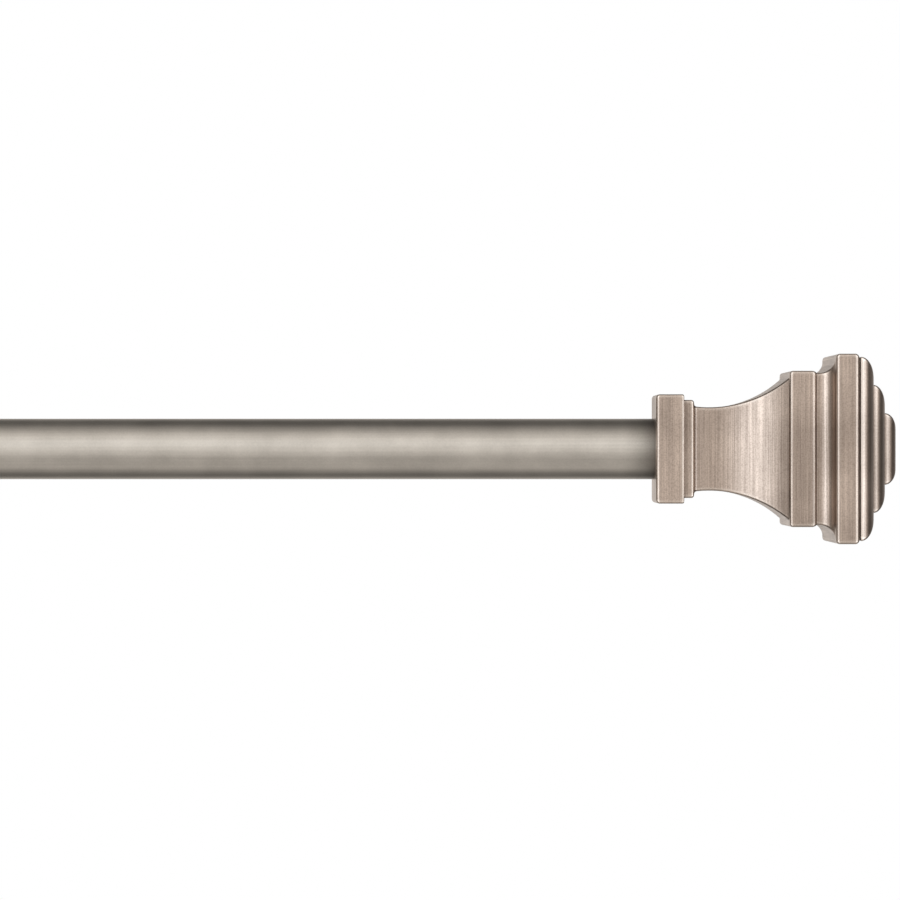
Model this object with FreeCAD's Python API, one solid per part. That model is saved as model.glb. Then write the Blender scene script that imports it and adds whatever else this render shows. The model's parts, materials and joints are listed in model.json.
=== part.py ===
import FreeCAD, Part
import math
import os

# Telescoping curtain rod with square moulded finials, hung in two adjustable wall brackets.
# Millimetres. +X runs along the rod to the right, +Y into the wall, +Z up. The origin is the centre
# of the right bracket's wall plate, on the wall. The rod is drawn at its shortest setting.

# Rod
OUTER_TUBE_RADIUS = 7.9375
OUTER_TUBE_WALL = 0.8
INNER_TUBE_RADIUS = 6.35
INNER_TUBE_WALL = 0.7
ROD_PROJECTION = 90.0
SHORTEST_SPAN = 711.2
RIGHT_COLLAR_X = 205.0
TUBE_OVERLAP_AT_LONGEST = 134.0
LONGEST_SPAN = 1219.2
RUNNING_CLEARANCE = 0.05

# Where the tubes end
FINIAL_SOCKET_DEPTH = 12.0
SEAT_GAP = 0.2
MOUTH_GAP = 6.0
BUSH_LIP = 1.5
BUSH_SPIGOT = 12.0
GUIDE_HEAD = 6.0
PLUG_LENGTH = 18.0
ADAPTER_REACH = 2.0

# Finial: distances run outwards from the inner face of its collar, and every half width is half the
# side of its square section
COLLAR_LENGTH = 7.35
COLLAR_HALF = 14.2
COLLAR_BACK_EDGE = 1.0
COLLAR_EDGE = 0.5
BEAD_HALF = 12.75
BEAD_END = 10.0
BEAD_EDGE = 0.8
NECK_COVE = 0.9
NECK_HALF = 10.85
NECK_X = 13.9
FLARE_RADIUS = 31.1
BLOCK_START = 34.3
BLOCK_HALF = 20.2
BLOCK_EDGE = 0.9
BLOCK_END = 41.3
BLOCK_NOSE_RADIUS = 1.58
BLOCK_NOSE_START = 40.1
COVE_FLOOR_HALF = 19.65
COVE_RADIUS = 4.0
PLATE_START = 46.0
PLATE_END = 52.1
PLATE_HALF = 24.54
PLATE_BACK_EDGE = 1.0
PLATE_EDGE = 1.2
QUIRK_HALF = 23.2
# The three stepped ovolos at the end, each a quarter of an ellipse: where it starts, its half width
# there, where it ends and its half width at the end
OVOLOS = (
    (52.4, 23.75, 56.2, 17.5),
    (56.2, 16.6, 59.7, 10.5),
    (59.7, 9.35, 63.0, 5.0),
)

# How far a moulding is drawn past its corners before the two directions are mitred together
MITRE_SPARE = 1.0

# Threaded parts
FINIAL_STUD_RADIUS = 3.0
FINIAL_STUD_IN_PLUG = 13.8
FINIAL_STUD_IN_FINIAL = 14.0
FINIAL_STUD_CHAMFER = 0.5
FINIAL_STUD_HOLE_SPARE = 1.0
LOCK_SCREW_RADIUS = 2.0
LOCK_SCREW_CHAMFER = 0.3
KNOB_RADIUS = 5.0
KNOB_LENGTH = 8.0
KNOB_EDGE = 0.8
KNOB_STAND_OFF = 3.0
KNOB_FLUTES = 18
KNOB_FLUTE_RADIUS = 0.55
LOCK_SCREW_GRIP = 6.5
GRUB_RADIUS = 1.5
GRUB_LENGTH = 5.0
GRUB_SOCKET_DEPTH = 1.5
GRUB_SOCKET_HALF = 0.75

# Bracket, as distances out from the wall
BRACKET_SPACING = 301.0
WALL_PLATE_HEIGHT = 56.0
PAD_HALF = 10.0
PAD_DEPTH = 2.0
FLANGE_HALF = 13.0
FLANGE_DEPTH = 1.6
SCREW_SPACING = 36.0
SCREW_HOLE_RADIUS = 2.25
PLUG_RELIEF_RADIUS = 3.4
PLUG_RELIEF_DEPTH = 0.8
WALL_SCREW_RADIUS = 2.0
WALL_SCREW_LENGTH = 32.0
WALL_SCREW_HEAD_RADIUS = 4.0
WALL_SCREW_HEAD = 2.5
WALL_SCREW_HEAD_EDGE = 1.2
WALL_SCREW_TIP = 4.0
WALL_SCREW_TIP_RADIUS = 0.3
DRIVE_HALF_WIDTH = 0.6
DRIVE_HALF_LENGTH = 2.2
DRIVE_DEPTH = 1.5
ANCHOR_RADIUS = 3.0
ANCHOR_LENGTH = 30.0
SLIDE_GAP = 0.3
LIP_GAP = 0.1
ESCUTCHEON_HALF = 19.0
ESCUTCHEON_EXTRA_HEIGHT = 12.0
ESCUTCHEON_DEPTH = 12.4
ESCUTCHEON_LIP = 5.0
ESCUTCHEON_LIP_EDGE = 0.8
ESCUTCHEON_OVOLO_INSET = 2.2
ESCUTCHEON_OVOLO_END = 8.6
ESCUTCHEON_OVOLO_DROP = 3.4
ESCUTCHEON_COVE_INSET = 6.8
ESCUTCHEON_COVE = 3.4
HEAD_RECESS_HALF = 6.0
HEAD_RECESS_DEPTH = 6.6
HEAD_RECESS_TOP = 23.5
ARM_HALF = 7.0
ARM_BORE_HALF = 5.2
ARM_WEB_END = 19.0
ARM_END = 74.0
ARM_RIM_HALF = 9.0
ARM_RIM_LENGTH = 8.0
ARM_BEAD_HALF = 8.0
ARM_BEAD_LENGTH = 2.0
ARM_EDGE = 0.8
ARM_SCREW_HEAD_RADIUS = 4.0
ARM_SCREW_HEAD = 2.0
ARM_SCREW_END = 18.0
ARM_SCREW_SOCKET_RADIUS = 1.3
ARM_SCREW_SOCKET_DEPTH = 1.4
BAR_HALF = 5.0
BAR_EDGE = 0.5
BAR_START = 26.0
BAR_TENON_RADIUS = 3.0
BAR_TENON = 4.2
EYE_HALF = 12.75
EYE_WIDTH = 14.0
EYE_BORE_RADIUS = 8.15
EYE_EDGE = 0.8
BAR_LOCK_Y = 70.0
GRUB_Z = -20.0
GRUB_DEPTH = 2.8

# Worked out from the sizes above
LEFT_COLLAR_X = RIGHT_COLLAR_X - SHORTEST_SPAN
OUTER_TUBE_BORE = OUTER_TUBE_RADIUS - OUTER_TUBE_WALL
INNER_TUBE_BORE = INNER_TUBE_RADIUS - INNER_TUBE_WALL
OUTER_TUBE_END = RIGHT_COLLAR_X + FINIAL_SOCKET_DEPTH - SEAT_GAP
OUTER_TUBE_MOUTH = LEFT_COLLAR_X + MOUTH_GAP
INNER_TUBE_END = LEFT_COLLAR_X - FINIAL_SOCKET_DEPTH + SEAT_GAP
EXTENSION = LONGEST_SPAN - SHORTEST_SPAN
INNER_TUBE_INSIDE_END = OUTER_TUBE_MOUTH + EXTENSION + TUBE_OVERLAP_AT_LONGEST
FLANGE_FACE = PAD_DEPTH + FLANGE_DEPTH

X = FreeCAD.Vector(1, 0, 0)
Y = FreeCAD.Vector(0, 1, 0)
Z = FreeCAD.Vector(0, 0, 1)


def point(x, y, z=0.0):
    return FreeCAD.Vector(x, y, z)


def block(x0, x1, y0, y1, z0, z1):
    corner = point(min(x0, x1), min(y0, y1), min(z0, z1))
    return Part.makeBox(abs(x1 - x0), abs(y1 - y0), abs(z1 - z0), corner)


def rod_along(axis, start, length, radius, bore=0.0):
    """A round bar or, with a bore, a sleeve."""
    bar = Part.makeCylinder(radius, length, start, axis)
    if bore:
        bar = bar.cut(Part.makeCylinder(bore, length, start, axis))
    return bar


def softened(shape, radius, keep):
    """The shape with the edges that keep() picks rounded over."""
    return shape.makeFillet(radius, [edge for edge in shape.Edges if keep(edge)])


def is_straight_along(edge, axis):
    if not isinstance(edge.Curve, Part.Line):
        return False
    return abs(abs(edge.Curve.Direction.dot(axis)) - 1.0) < 1e-6


class Outline:
    """Half of a moulding's section: run is the distance along it and half its half width."""

    def __init__(self, run, half):
        self.here = point(run, half)
        self.edges = []

    def line(self, run, half):
        there = point(run, half)
        self.edges.append(Part.makeLine(self.here, there))
        self.here = there

    def arc(self, run, half, centre_run, centre_half):
        """The shorter arc to this point about a centre."""
        there = point(run, half)
        centre = point(centre_run, centre_half)
        radius = (self.here - centre).Length
        middle = ((self.here - centre) + (there - centre)).normalize()
        bow = centre + middle.multiply(radius)
        self.edges.append(Part.Arc(self.here, bow, there).toShape())
        self.here = there

    def ovolo(self, run, half):
        """A quarter of an ellipse that leaves along the run and arrives straight across it."""
        centre = point(self.here.x, half)
        across = point(run, half)
        rise, reach = self.here.y - half, run - self.here.x
        if rise > reach:
            ellipse = Part.Ellipse(self.here, across, centre)
        else:
            ellipse = Part.Ellipse(across, self.here, centre)
        start, end = ellipse.parameter(self.here), ellipse.parameter(across)
        if end < start:
            start, end = end, start
        if end - start > math.pi:
            start, end = end, start + 2 * math.pi
        self.edges.append(Part.ArcOfEllipse(ellipse, start, end).toShape())
        self.here = across

    def section(self):
        """The closed face between this outline and its mirror image across the axis."""
        upper = Part.Wire(self.edges)
        lower = upper.mirror(point(0, 0), Y)
        first, last = self.edges[0].Vertexes[0].Point, self.here
        start = Part.makeLine(point(first.x, -first.y), first)
        end = Part.makeLine(last, point(last.x, -last.y))
        edges = [start] + upper.Edges + [end] + lower.Edges
        return Part.Face(Part.Wire(Part.__sortEdges__(edges)))


def moulding(sides, uprights, reach):
    """Where two mouldings cross at right angles: square in section, with mitred corners."""
    across = sides.section()
    across.translate(point(0, 0, -reach))
    upright = uprights.section()
    upright.translate(point(0, 0, -reach))
    across = across.extrude(point(0, 0, 2 * reach))
    upright = upright.extrude(point(0, 0, 2 * reach))
    upright.rotate(point(0, 0), X, 90)
    return across.common(upright)


def flare_half(run):
    """Half width of the finial's hollow flare, one concave arc that is narrowest at the neck."""
    return NECK_HALF + FLARE_RADIUS - math.sqrt(FLARE_RADIUS**2 - (run - NECK_X) ** 2)


def add_collar(outline):
    outline.line(0, COLLAR_HALF - COLLAR_BACK_EDGE)
    outline.arc(
        COLLAR_BACK_EDGE,
        COLLAR_HALF,
        COLLAR_BACK_EDGE,
        COLLAR_HALF - COLLAR_BACK_EDGE,
    )
    outline.line(COLLAR_LENGTH - COLLAR_EDGE, COLLAR_HALF)
    outline.arc(
        COLLAR_LENGTH,
        COLLAR_HALF - COLLAR_EDGE,
        COLLAR_LENGTH - COLLAR_EDGE,
        COLLAR_HALF - COLLAR_EDGE,
    )
    outline.line(COLLAR_LENGTH, BEAD_HALF)


def add_bead_and_neck(outline):
    cove_end = BEAD_END + NECK_COVE
    cove_centre_half = flare_half(cove_end) + NECK_COVE
    outline.line(BEAD_END - BEAD_EDGE, BEAD_HALF)
    outline.arc(BEAD_END, BEAD_HALF - BEAD_EDGE, BEAD_END - BEAD_EDGE, BEAD_HALF - BEAD_EDGE)
    outline.line(BEAD_END, cove_centre_half)
    outline.arc(cove_end, flare_half(cove_end), cove_end, cove_centre_half)
    outline.arc(BLOCK_START, flare_half(BLOCK_START), NECK_X, NECK_HALF + FLARE_RADIUS)


def add_block_and_cove(outline):
    cove_start = PLATE_START - COVE_RADIUS
    outline.line(BLOCK_START, BLOCK_HALF - BLOCK_EDGE)
    outline.arc(
        BLOCK_START + BLOCK_EDGE,
        BLOCK_HALF,
        BLOCK_START + BLOCK_EDGE,
        BLOCK_HALF - BLOCK_EDGE,
    )
    outline.line(BLOCK_NOSE_START, BLOCK_HALF)
    nose_centre_half = BLOCK_HALF - BLOCK_NOSE_RADIUS
    nose_run = BLOCK_END - BLOCK_NOSE_START
    nose_end_half = nose_centre_half + math.sqrt(BLOCK_NOSE_RADIUS**2 - nose_run**2)
    outline.arc(BLOCK_END, nose_end_half, BLOCK_NOSE_START, nose_centre_half)
    outline.line(BLOCK_END, COVE_FLOOR_HALF)
    outline.line(cove_start, COVE_FLOOR_HALF)
    outline.arc(
        PLATE_START,
        COVE_FLOOR_HALF + COVE_RADIUS,
        cove_start,
        COVE_FLOOR_HALF + COVE_RADIUS,
    )


def add_plate(outline):
    outline.line(PLATE_START, PLATE_HALF - PLATE_BACK_EDGE)
    outline.arc(
        PLATE_START + PLATE_BACK_EDGE,
        PLATE_HALF,
        PLATE_START + PLATE_BACK_EDGE,
        PLATE_HALF - PLATE_BACK_EDGE,
    )
    outline.line(PLATE_END - PLATE_EDGE, PLATE_HALF)
    outline.arc(
        PLATE_END,
        PLATE_HALF - PLATE_EDGE,
        PLATE_END - PLATE_EDGE,
        PLATE_HALF - PLATE_EDGE,
    )
    outline.line(PLATE_END, QUIRK_HALF)
    outline.line(OVOLOS[0][0], QUIRK_HALF)


def add_ovolos(outline):
    for start, start_half, end, end_half in OVOLOS:
        outline.line(start, start_half)
        outline.ovolo(end, end_half)


def finial_outline():
    outline = Outline(0, BEAD_HALF)
    add_collar(outline)
    add_bead_and_neck(outline)
    add_block_and_cove(outline)
    add_plate(outline)
    add_ovolos(outline)
    return outline


def finial():
    """The cast finial, with its collar's inner face on X = 0 and its socket open towards -X."""
    body = moulding(finial_outline(), finial_outline(), PLATE_HALF + MITRE_SPARE)
    socket = rod_along(X, point(0, 0), FINIAL_SOCKET_DEPTH, OUTER_TUBE_RADIUS + RUNNING_CLEARANCE)
    stud_hole = rod_along(
        X,
        point(0, 0),
        FINIAL_SOCKET_DEPTH + FINIAL_STUD_IN_FINIAL + FINIAL_STUD_HOLE_SPARE,
        FINIAL_STUD_RADIUS + RUNNING_CLEARANCE,
    )
    return body.cut(socket).cut(stud_hole)


def finial_stud():
    start = FINIAL_SOCKET_DEPTH - SEAT_GAP - FINIAL_STUD_IN_PLUG
    length = FINIAL_STUD_IN_PLUG + SEAT_GAP + FINIAL_STUD_IN_FINIAL
    stud = rod_along(X, point(start, 0), length, FINIAL_STUD_RADIUS)
    return stud.makeChamfer(FINIAL_STUD_CHAMFER, stud.Edges)


def tube_plug(radius):
    """The moulded plug pressed into a tube's end; it holds the finial's stud."""
    start = FINIAL_SOCKET_DEPTH - SEAT_GAP - PLUG_LENGTH
    return rod_along(
        X,
        point(start, 0),
        PLUG_LENGTH,
        radius,
        FINIAL_STUD_RADIUS + RUNNING_CLEARANCE,
    )


def adapter_sleeve():
    """Brings the inner tube's end up to the size of the finial's socket."""
    length = FINIAL_SOCKET_DEPTH - SEAT_GAP + ADAPTER_REACH
    bore = INNER_TUBE_RADIUS + RUNNING_CLEARANCE
    return rod_along(X, point(-ADAPTER_REACH, 0), length, OUTER_TUBE_RADIUS, bore)


def at_right_end(shape):
    shape = shape.copy()
    shape.translate(point(RIGHT_COLLAR_X, -ROD_PROJECTION))
    return shape


def at_left_end(shape):
    shape = shape.mirror(point(0, 0), X)
    shape.translate(point(LEFT_COLLAR_X, -ROD_PROJECTION))
    return shape


def rod_pieces():
    axis_y = -ROD_PROJECTION
    outer = rod_along(
        X,
        point(OUTER_TUBE_MOUTH, axis_y),
        OUTER_TUBE_END - OUTER_TUBE_MOUTH,
        OUTER_TUBE_RADIUS,
        OUTER_TUBE_BORE,
    )
    inner = rod_along(
        X,
        point(INNER_TUBE_END, axis_y),
        INNER_TUBE_INSIDE_END - INNER_TUBE_END,
        INNER_TUBE_RADIUS,
        INNER_TUBE_BORE,
    )
    bush_bore = INNER_TUBE_RADIUS + RUNNING_CLEARANCE
    bush = rod_along(
        X, point(OUTER_TUBE_MOUTH - BUSH_LIP, axis_y), BUSH_LIP, OUTER_TUBE_RADIUS, bush_bore
    )
    spigot = rod_along(
        X, point(OUTER_TUBE_MOUTH, axis_y), BUSH_SPIGOT, OUTER_TUBE_BORE, bush_bore
    )
    guide = rod_along(
        X,
        point(INNER_TUBE_INSIDE_END, axis_y),
        GUIDE_HEAD,
        OUTER_TUBE_BORE - RUNNING_CLEARANCE,
    )
    guide_stem = rod_along(
        X,
        point(INNER_TUBE_INSIDE_END - BUSH_SPIGOT, axis_y),
        BUSH_SPIGOT,
        INNER_TUBE_BORE,
    )
    return {
        "outer_tube": outer,
        "inner_tube": inner,
        "tube_mouth_bush": bush.fuse(spigot).removeSplitter(),
        "inner_tube_guide": guide.fuse(guide_stem).removeSplitter(),
        "right_finial_plug": at_right_end(tube_plug(OUTER_TUBE_BORE)),
        "right_finial_stud": at_right_end(finial_stud()),
        "right_finial": at_right_end(finial()),
        "left_finial_plug": at_left_end(tube_plug(INNER_TUBE_BORE)),
        "left_adapter_sleeve": at_left_end(adapter_sleeve()),
        "left_finial_stud": at_left_end(finial_stud()),
        "left_finial": at_left_end(finial()),
    }


def out_from_wall(distance, x=0.0, z=0.0):
    return point(x, -distance, z)


def screw_heights():
    return (SCREW_SPACING / 2, -SCREW_SPACING / 2)


def wall_plate():
    """T-section: a narrow pad on the wall and a wider flange that the escutcheon hooks over.

    Each screw hole is relieved behind, so that the rim of a wall plug never holds the pad off the wall.
    """
    half_height = WALL_PLATE_HEIGHT / 2
    pad = block(-PAD_HALF, PAD_HALF, 0, -PAD_DEPTH, -half_height, half_height)
    flange = block(
        -FLANGE_HALF, FLANGE_HALF, -PAD_DEPTH, -FLANGE_FACE, -half_height, half_height
    )
    plate = pad.fuse(flange).removeSplitter()
    for height in screw_heights():
        mouth = point(0, 0, height)
        hole = rod_along(-Y, mouth, FLANGE_FACE, SCREW_HOLE_RADIUS)
        relief = rod_along(-Y, mouth, PLUG_RELIEF_DEPTH, PLUG_RELIEF_RADIUS)
        plate = plate.cut([hole, relief])
    return plate


def wall_screw(height):
    """A pan-head screw with a cone point and a cross recess."""
    seat = out_from_wall(FLANGE_FACE, 0, height)
    head_top = seat.y - WALL_SCREW_HEAD
    head = rod_along(-Y, seat, WALL_SCREW_HEAD, WALL_SCREW_HEAD_RADIUS)
    head = softened(
        head, WALL_SCREW_HEAD_EDGE, lambda edge: edge.CenterOfMass.y < seat.y - WALL_SCREW_HEAD / 2
    )
    shank = rod_along(Y, seat, WALL_SCREW_LENGTH - WALL_SCREW_TIP, WALL_SCREW_RADIUS)
    tip_start = seat + point(0, WALL_SCREW_LENGTH - WALL_SCREW_TIP)
    cone = Part.makeCone(
        WALL_SCREW_RADIUS, WALL_SCREW_TIP_RADIUS, WALL_SCREW_TIP, tip_start, Y
    )
    slots = []
    for half_width, half_height in (
        (DRIVE_HALF_WIDTH, DRIVE_HALF_LENGTH),
        (DRIVE_HALF_LENGTH, DRIVE_HALF_WIDTH),
    ):
        slots.append(
            block(
                -half_width,
                half_width,
                head_top,
                head_top + DRIVE_DEPTH,
                height - half_height,
                height + half_height,
            )
        )
    return head.fuse([shank, cone]).removeSplitter().cut(slots)


def wall_screws():
    """Two screws, as one group of separate solids."""
    return Part.makeCompound([wall_screw(height) for height in screw_heights()])


def wall_anchors():
    """Two moulded plugs that fill the drilled holes behind the plate."""
    anchors = []
    for height in screw_heights():
        start = point(0, 0, height)
        bore = WALL_SCREW_RADIUS + RUNNING_CLEARANCE
        anchors.append(rod_along(Y, start, ANCHOR_LENGTH, ANCHOR_RADIUS, bore))
    return Part.makeCompound(anchors)


def escutcheon_outline(extra):
    """Section of the escutcheon out from the wall; extra widens it to give the taller sides."""
    half = ESCUTCHEON_HALF + extra
    edge = ESCUTCHEON_LIP_EDGE
    cove_half = half - ESCUTCHEON_COVE_INSET
    outline = Outline(0, half)
    outline.line(ESCUTCHEON_LIP - edge, half)
    outline.arc(ESCUTCHEON_LIP, half - edge, ESCUTCHEON_LIP - edge, half - edge)
    outline.line(ESCUTCHEON_LIP, half - ESCUTCHEON_OVOLO_INSET)
    outline.ovolo(ESCUTCHEON_OVOLO_END, half - ESCUTCHEON_OVOLO_INSET - ESCUTCHEON_OVOLO_DROP)
    outline.line(ESCUTCHEON_OVOLO_END, cove_half)
    outline.line(ESCUTCHEON_DEPTH - ESCUTCHEON_COVE, cove_half)
    outline.arc(ESCUTCHEON_DEPTH, cove_half - ESCUTCHEON_COVE, ESCUTCHEON_DEPTH, cove_half)
    return outline


def escutcheon():
    """Moulded cover that drops over the wall plate and carries the arm; its pocket opens downwards."""
    reach = ESCUTCHEON_HALF + ESCUTCHEON_EXTRA_HEIGHT + MITRE_SPARE
    body = moulding(escutcheon_outline(0), escutcheon_outline(ESCUTCHEON_EXTRA_HEIGHT), reach)
    body.rotate(point(0, 0), Z, -90)
    top = WALL_PLATE_HEIGHT / 2
    neck = block(
        -PAD_HALF - SLIDE_GAP, PAD_HALF + SLIDE_GAP, 0, -PAD_DEPTH + LIP_GAP, -reach, top
    )
    pocket = block(
        -FLANGE_HALF - SLIDE_GAP,
        FLANGE_HALF + SLIDE_GAP,
        -PAD_DEPTH + LIP_GAP,
        -FLANGE_FACE - SLIDE_GAP,
        -reach,
        top,
    )
    recess = block(
        -HEAD_RECESS_HALF,
        HEAD_RECESS_HALF,
        -FLANGE_FACE,
        -HEAD_RECESS_DEPTH,
        -reach,
        HEAD_RECESS_TOP,
    )
    grub_hole = rod_along(
        X,
        point(FLANGE_HALF, -GRUB_DEPTH, GRUB_Z),
        ESCUTCHEON_HALF,
        GRUB_RADIUS + RUNNING_CLEARANCE,
    )
    screw_hole = arm_screw_shape(RUNNING_CLEARANCE)
    return body.cut([neck, pocket, recess, grub_hole, screw_hole])


def arm_screw_shape(clearance):
    """Countersunk screw from inside the escutcheon into the arm; the clearance makes its hole."""
    start = out_from_wall(HEAD_RECESS_DEPTH)
    radius = LOCK_SCREW_RADIUS + clearance
    head = Part.makeCone(
        ARM_SCREW_HEAD_RADIUS + clearance, radius, ARM_SCREW_HEAD, start, -Y
    )
    length = ARM_SCREW_END - HEAD_RECESS_DEPTH + clearance
    return head.fuse(rod_along(-Y, start, length, radius)).removeSplitter()


def arm_screw():
    seat = out_from_wall(HEAD_RECESS_DEPTH)
    drive = rod_along(-Y, seat, ARM_SCREW_SOCKET_DEPTH, ARM_SCREW_SOCKET_RADIUS)
    return arm_screw_shape(0).cut(drive)


def grub_screw():
    start = point(FLANGE_HALF + RUNNING_CLEARANCE, -GRUB_DEPTH, GRUB_Z)
    screw = rod_along(X, start, GRUB_LENGTH, GRUB_RADIUS)
    socket_start = start + point(GRUB_LENGTH - GRUB_SOCKET_DEPTH, 0)
    socket = Part.Face(Part.makePolygon(hexagon(GRUB_SOCKET_HALF)))
    socket = socket.extrude(point(0, 0, GRUB_SOCKET_DEPTH))
    socket.rotate(point(0, 0), Y, 90)
    socket.translate(socket_start)
    return screw.cut(socket)


def hexagon(flat_half):
    corner = flat_half / math.cos(math.pi / 6)
    turns = [math.pi / 3 * step for step in range(7)]
    return [point(corner * math.cos(turn), corner * math.sin(turn)) for turn in turns]


def arm():
    """Square hollow arm with a solid web at the wall end and a thicker rim at the open end."""
    rim_start = ARM_END - ARM_RIM_LENGTH
    bead_start = rim_start - ARM_BEAD_LENGTH
    shaft = block(
        -ARM_HALF, ARM_HALF, -ESCUTCHEON_DEPTH, -rim_start, -ARM_HALF, ARM_HALF
    )
    bead = block(
        -ARM_BEAD_HALF, ARM_BEAD_HALF, -bead_start, -rim_start, -ARM_BEAD_HALF, ARM_BEAD_HALF
    )
    rim = block(-ARM_RIM_HALF, ARM_RIM_HALF, -rim_start, -ARM_END, -ARM_RIM_HALF, ARM_RIM_HALF)
    shaft = softened(shaft, ARM_EDGE, lambda edge: is_straight_along(edge, Y))
    bead = softened(bead, ARM_EDGE, lambda edge: is_straight_along(edge, Y))
    rim = softened(rim, ARM_EDGE, lambda edge: True)
    hollow = block(
        -ARM_BORE_HALF, ARM_BORE_HALF, -ARM_WEB_END, -ARM_END, -ARM_BORE_HALF, ARM_BORE_HALF
    )
    lock_hole = rod_along(
        -Z, out_from_wall(BAR_LOCK_Y), 2 * ARM_RIM_HALF, LOCK_SCREW_RADIUS + RUNNING_CLEARANCE
    )
    body = shaft.fuse([bead, rim]).removeSplitter()
    return body.cut([hollow, lock_hole, arm_screw_shape(RUNNING_CLEARANCE)])


def projection_bar():
    """Square bar that slides in the arm; its round tenon is brazed into the eye."""
    eye_back = ROD_PROJECTION - EYE_HALF
    bar = block(-BAR_HALF, BAR_HALF, -BAR_START, -eye_back, -BAR_HALF, BAR_HALF)
    bar = softened(bar, BAR_EDGE, lambda edge: is_straight_along(edge, Y))
    radius = BAR_TENON_RADIUS - RUNNING_CLEARANCE
    tenon = rod_along(-Y, out_from_wall(eye_back), BAR_TENON, radius)
    return bar.fuse(tenon).removeSplitter()


def rod_eye():
    """Closed square ring that the rod passes through."""
    half = EYE_WIDTH / 2
    near = ROD_PROJECTION - EYE_HALF
    far = ROD_PROJECTION + EYE_HALF
    ring = block(-half, half, -near, -far, -EYE_HALF, EYE_HALF)
    ring = softened(ring, EYE_EDGE, lambda edge: True)
    bore = rod_along(X, out_from_wall(ROD_PROJECTION, -half), EYE_WIDTH, EYE_BORE_RADIUS)
    tenon_hole = rod_along(-Y, out_from_wall(near), BAR_TENON, BAR_TENON_RADIUS)
    lock_hole = rod_along(
        -Z, out_from_wall(ROD_PROJECTION), 2 * EYE_HALF, LOCK_SCREW_RADIUS + RUNNING_CLEARANCE
    )
    return ring.cut([bore, tenon_hole, lock_hole])


def lock_screw(distance, tip_z, knob_z):
    """A thumb screw pointing up: its threaded shank and its fluted knob."""
    shank_length = tip_z - knob_z + LOCK_SCREW_GRIP
    shank = rod_along(-Z, out_from_wall(distance, 0, tip_z), shank_length, LOCK_SCREW_RADIUS)
    shank = shank.makeChamfer(LOCK_SCREW_CHAMFER, shank.Edges)
    top = out_from_wall(distance, 0, knob_z)
    knob = rod_along(-Z, top, KNOB_LENGTH, KNOB_RADIUS)
    knob = softened(knob, KNOB_EDGE, lambda edge: edge.isClosed())
    bore = rod_along(-Z, top, LOCK_SCREW_GRIP, LOCK_SCREW_RADIUS + RUNNING_CLEARANCE)
    flutes = []
    for step in range(KNOB_FLUTES):
        turn = 2 * math.pi * step / KNOB_FLUTES
        offset = point(KNOB_RADIUS * math.cos(turn), KNOB_RADIUS * math.sin(turn))
        flutes.append(rod_along(-Z, top + offset, KNOB_LENGTH, KNOB_FLUTE_RADIUS))
    return shank, knob.cut([bore] + flutes)


def bracket_pieces():
    rod_shank, rod_knob = lock_screw(
        ROD_PROJECTION, -OUTER_TUBE_RADIUS - RUNNING_CLEARANCE, -EYE_HALF - KNOB_STAND_OFF
    )
    bar_shank, bar_knob = lock_screw(
        BAR_LOCK_Y, -BAR_HALF - RUNNING_CLEARANCE, -ARM_RIM_HALF - KNOB_STAND_OFF
    )
    return {
        "wall_plate": wall_plate(),
        "wall_screws": wall_screws(),
        "wall_anchors": wall_anchors(),
        "escutcheon": escutcheon(),
        "escutcheon_grub_screw": grub_screw(),
        "arm": arm(),
        "arm_screw": arm_screw(),
        "projection_bar": projection_bar(),
        "rod_eye": rod_eye(),
        "rod_lock_shank": rod_shank,
        "rod_lock_knob": rod_knob,
        "bar_lock_shank": bar_shank,
        "bar_lock_knob": bar_knob,
    }


def all_pieces():
    pieces = rod_pieces()
    for side, centre in (("right", 0.0), ("left", -BRACKET_SPACING)):
        for name, shape in bracket_pieces().items():
            placed = shape.copy()
            placed.translate(point(centre, 0))
            pieces[side + "_" + name] = placed
    return pieces


def main():
    os.makedirs("parts", exist_ok=True)
    for name, shape in all_pieces().items():
        solids = len(shape.Solids)
        print(f"{name}: {solids} solid(s), {shape.Volume / 1000:.3f} cm3, valid {shape.isValid()}")
        shape.exportStep(f"parts/{name}.step")


main()
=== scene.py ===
import json
import math

import bmesh
import bpy
from bpy.props import FloatProperty, FloatVectorProperty, IntProperty, PointerProperty
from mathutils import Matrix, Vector


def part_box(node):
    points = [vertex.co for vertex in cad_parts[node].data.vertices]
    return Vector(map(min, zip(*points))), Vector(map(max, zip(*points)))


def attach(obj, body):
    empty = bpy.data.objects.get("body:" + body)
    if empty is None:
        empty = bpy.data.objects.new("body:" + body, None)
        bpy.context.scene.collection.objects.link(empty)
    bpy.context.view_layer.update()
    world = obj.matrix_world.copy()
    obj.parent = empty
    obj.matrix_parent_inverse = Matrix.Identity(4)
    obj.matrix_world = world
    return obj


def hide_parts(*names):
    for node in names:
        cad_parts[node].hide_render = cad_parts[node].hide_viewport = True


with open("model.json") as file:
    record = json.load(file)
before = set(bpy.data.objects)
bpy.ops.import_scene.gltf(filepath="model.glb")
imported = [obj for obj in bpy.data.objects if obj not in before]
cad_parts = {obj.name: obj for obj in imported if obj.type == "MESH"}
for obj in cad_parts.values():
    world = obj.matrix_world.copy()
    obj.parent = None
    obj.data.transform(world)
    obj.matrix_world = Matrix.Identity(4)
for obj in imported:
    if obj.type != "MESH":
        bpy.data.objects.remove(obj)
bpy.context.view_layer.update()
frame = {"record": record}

bl_info = {
    "name": "Square-finial curtain rod",
    "version": (1, 0, 0),
    "blender": (4, 5, 0),
    "location": "3D View > Sidebar > Curtain Rod",
    "description": "Dresses a telescoping curtain rod and its two wall brackets in their finishes",
    "category": "Add Mesh",
}

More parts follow.
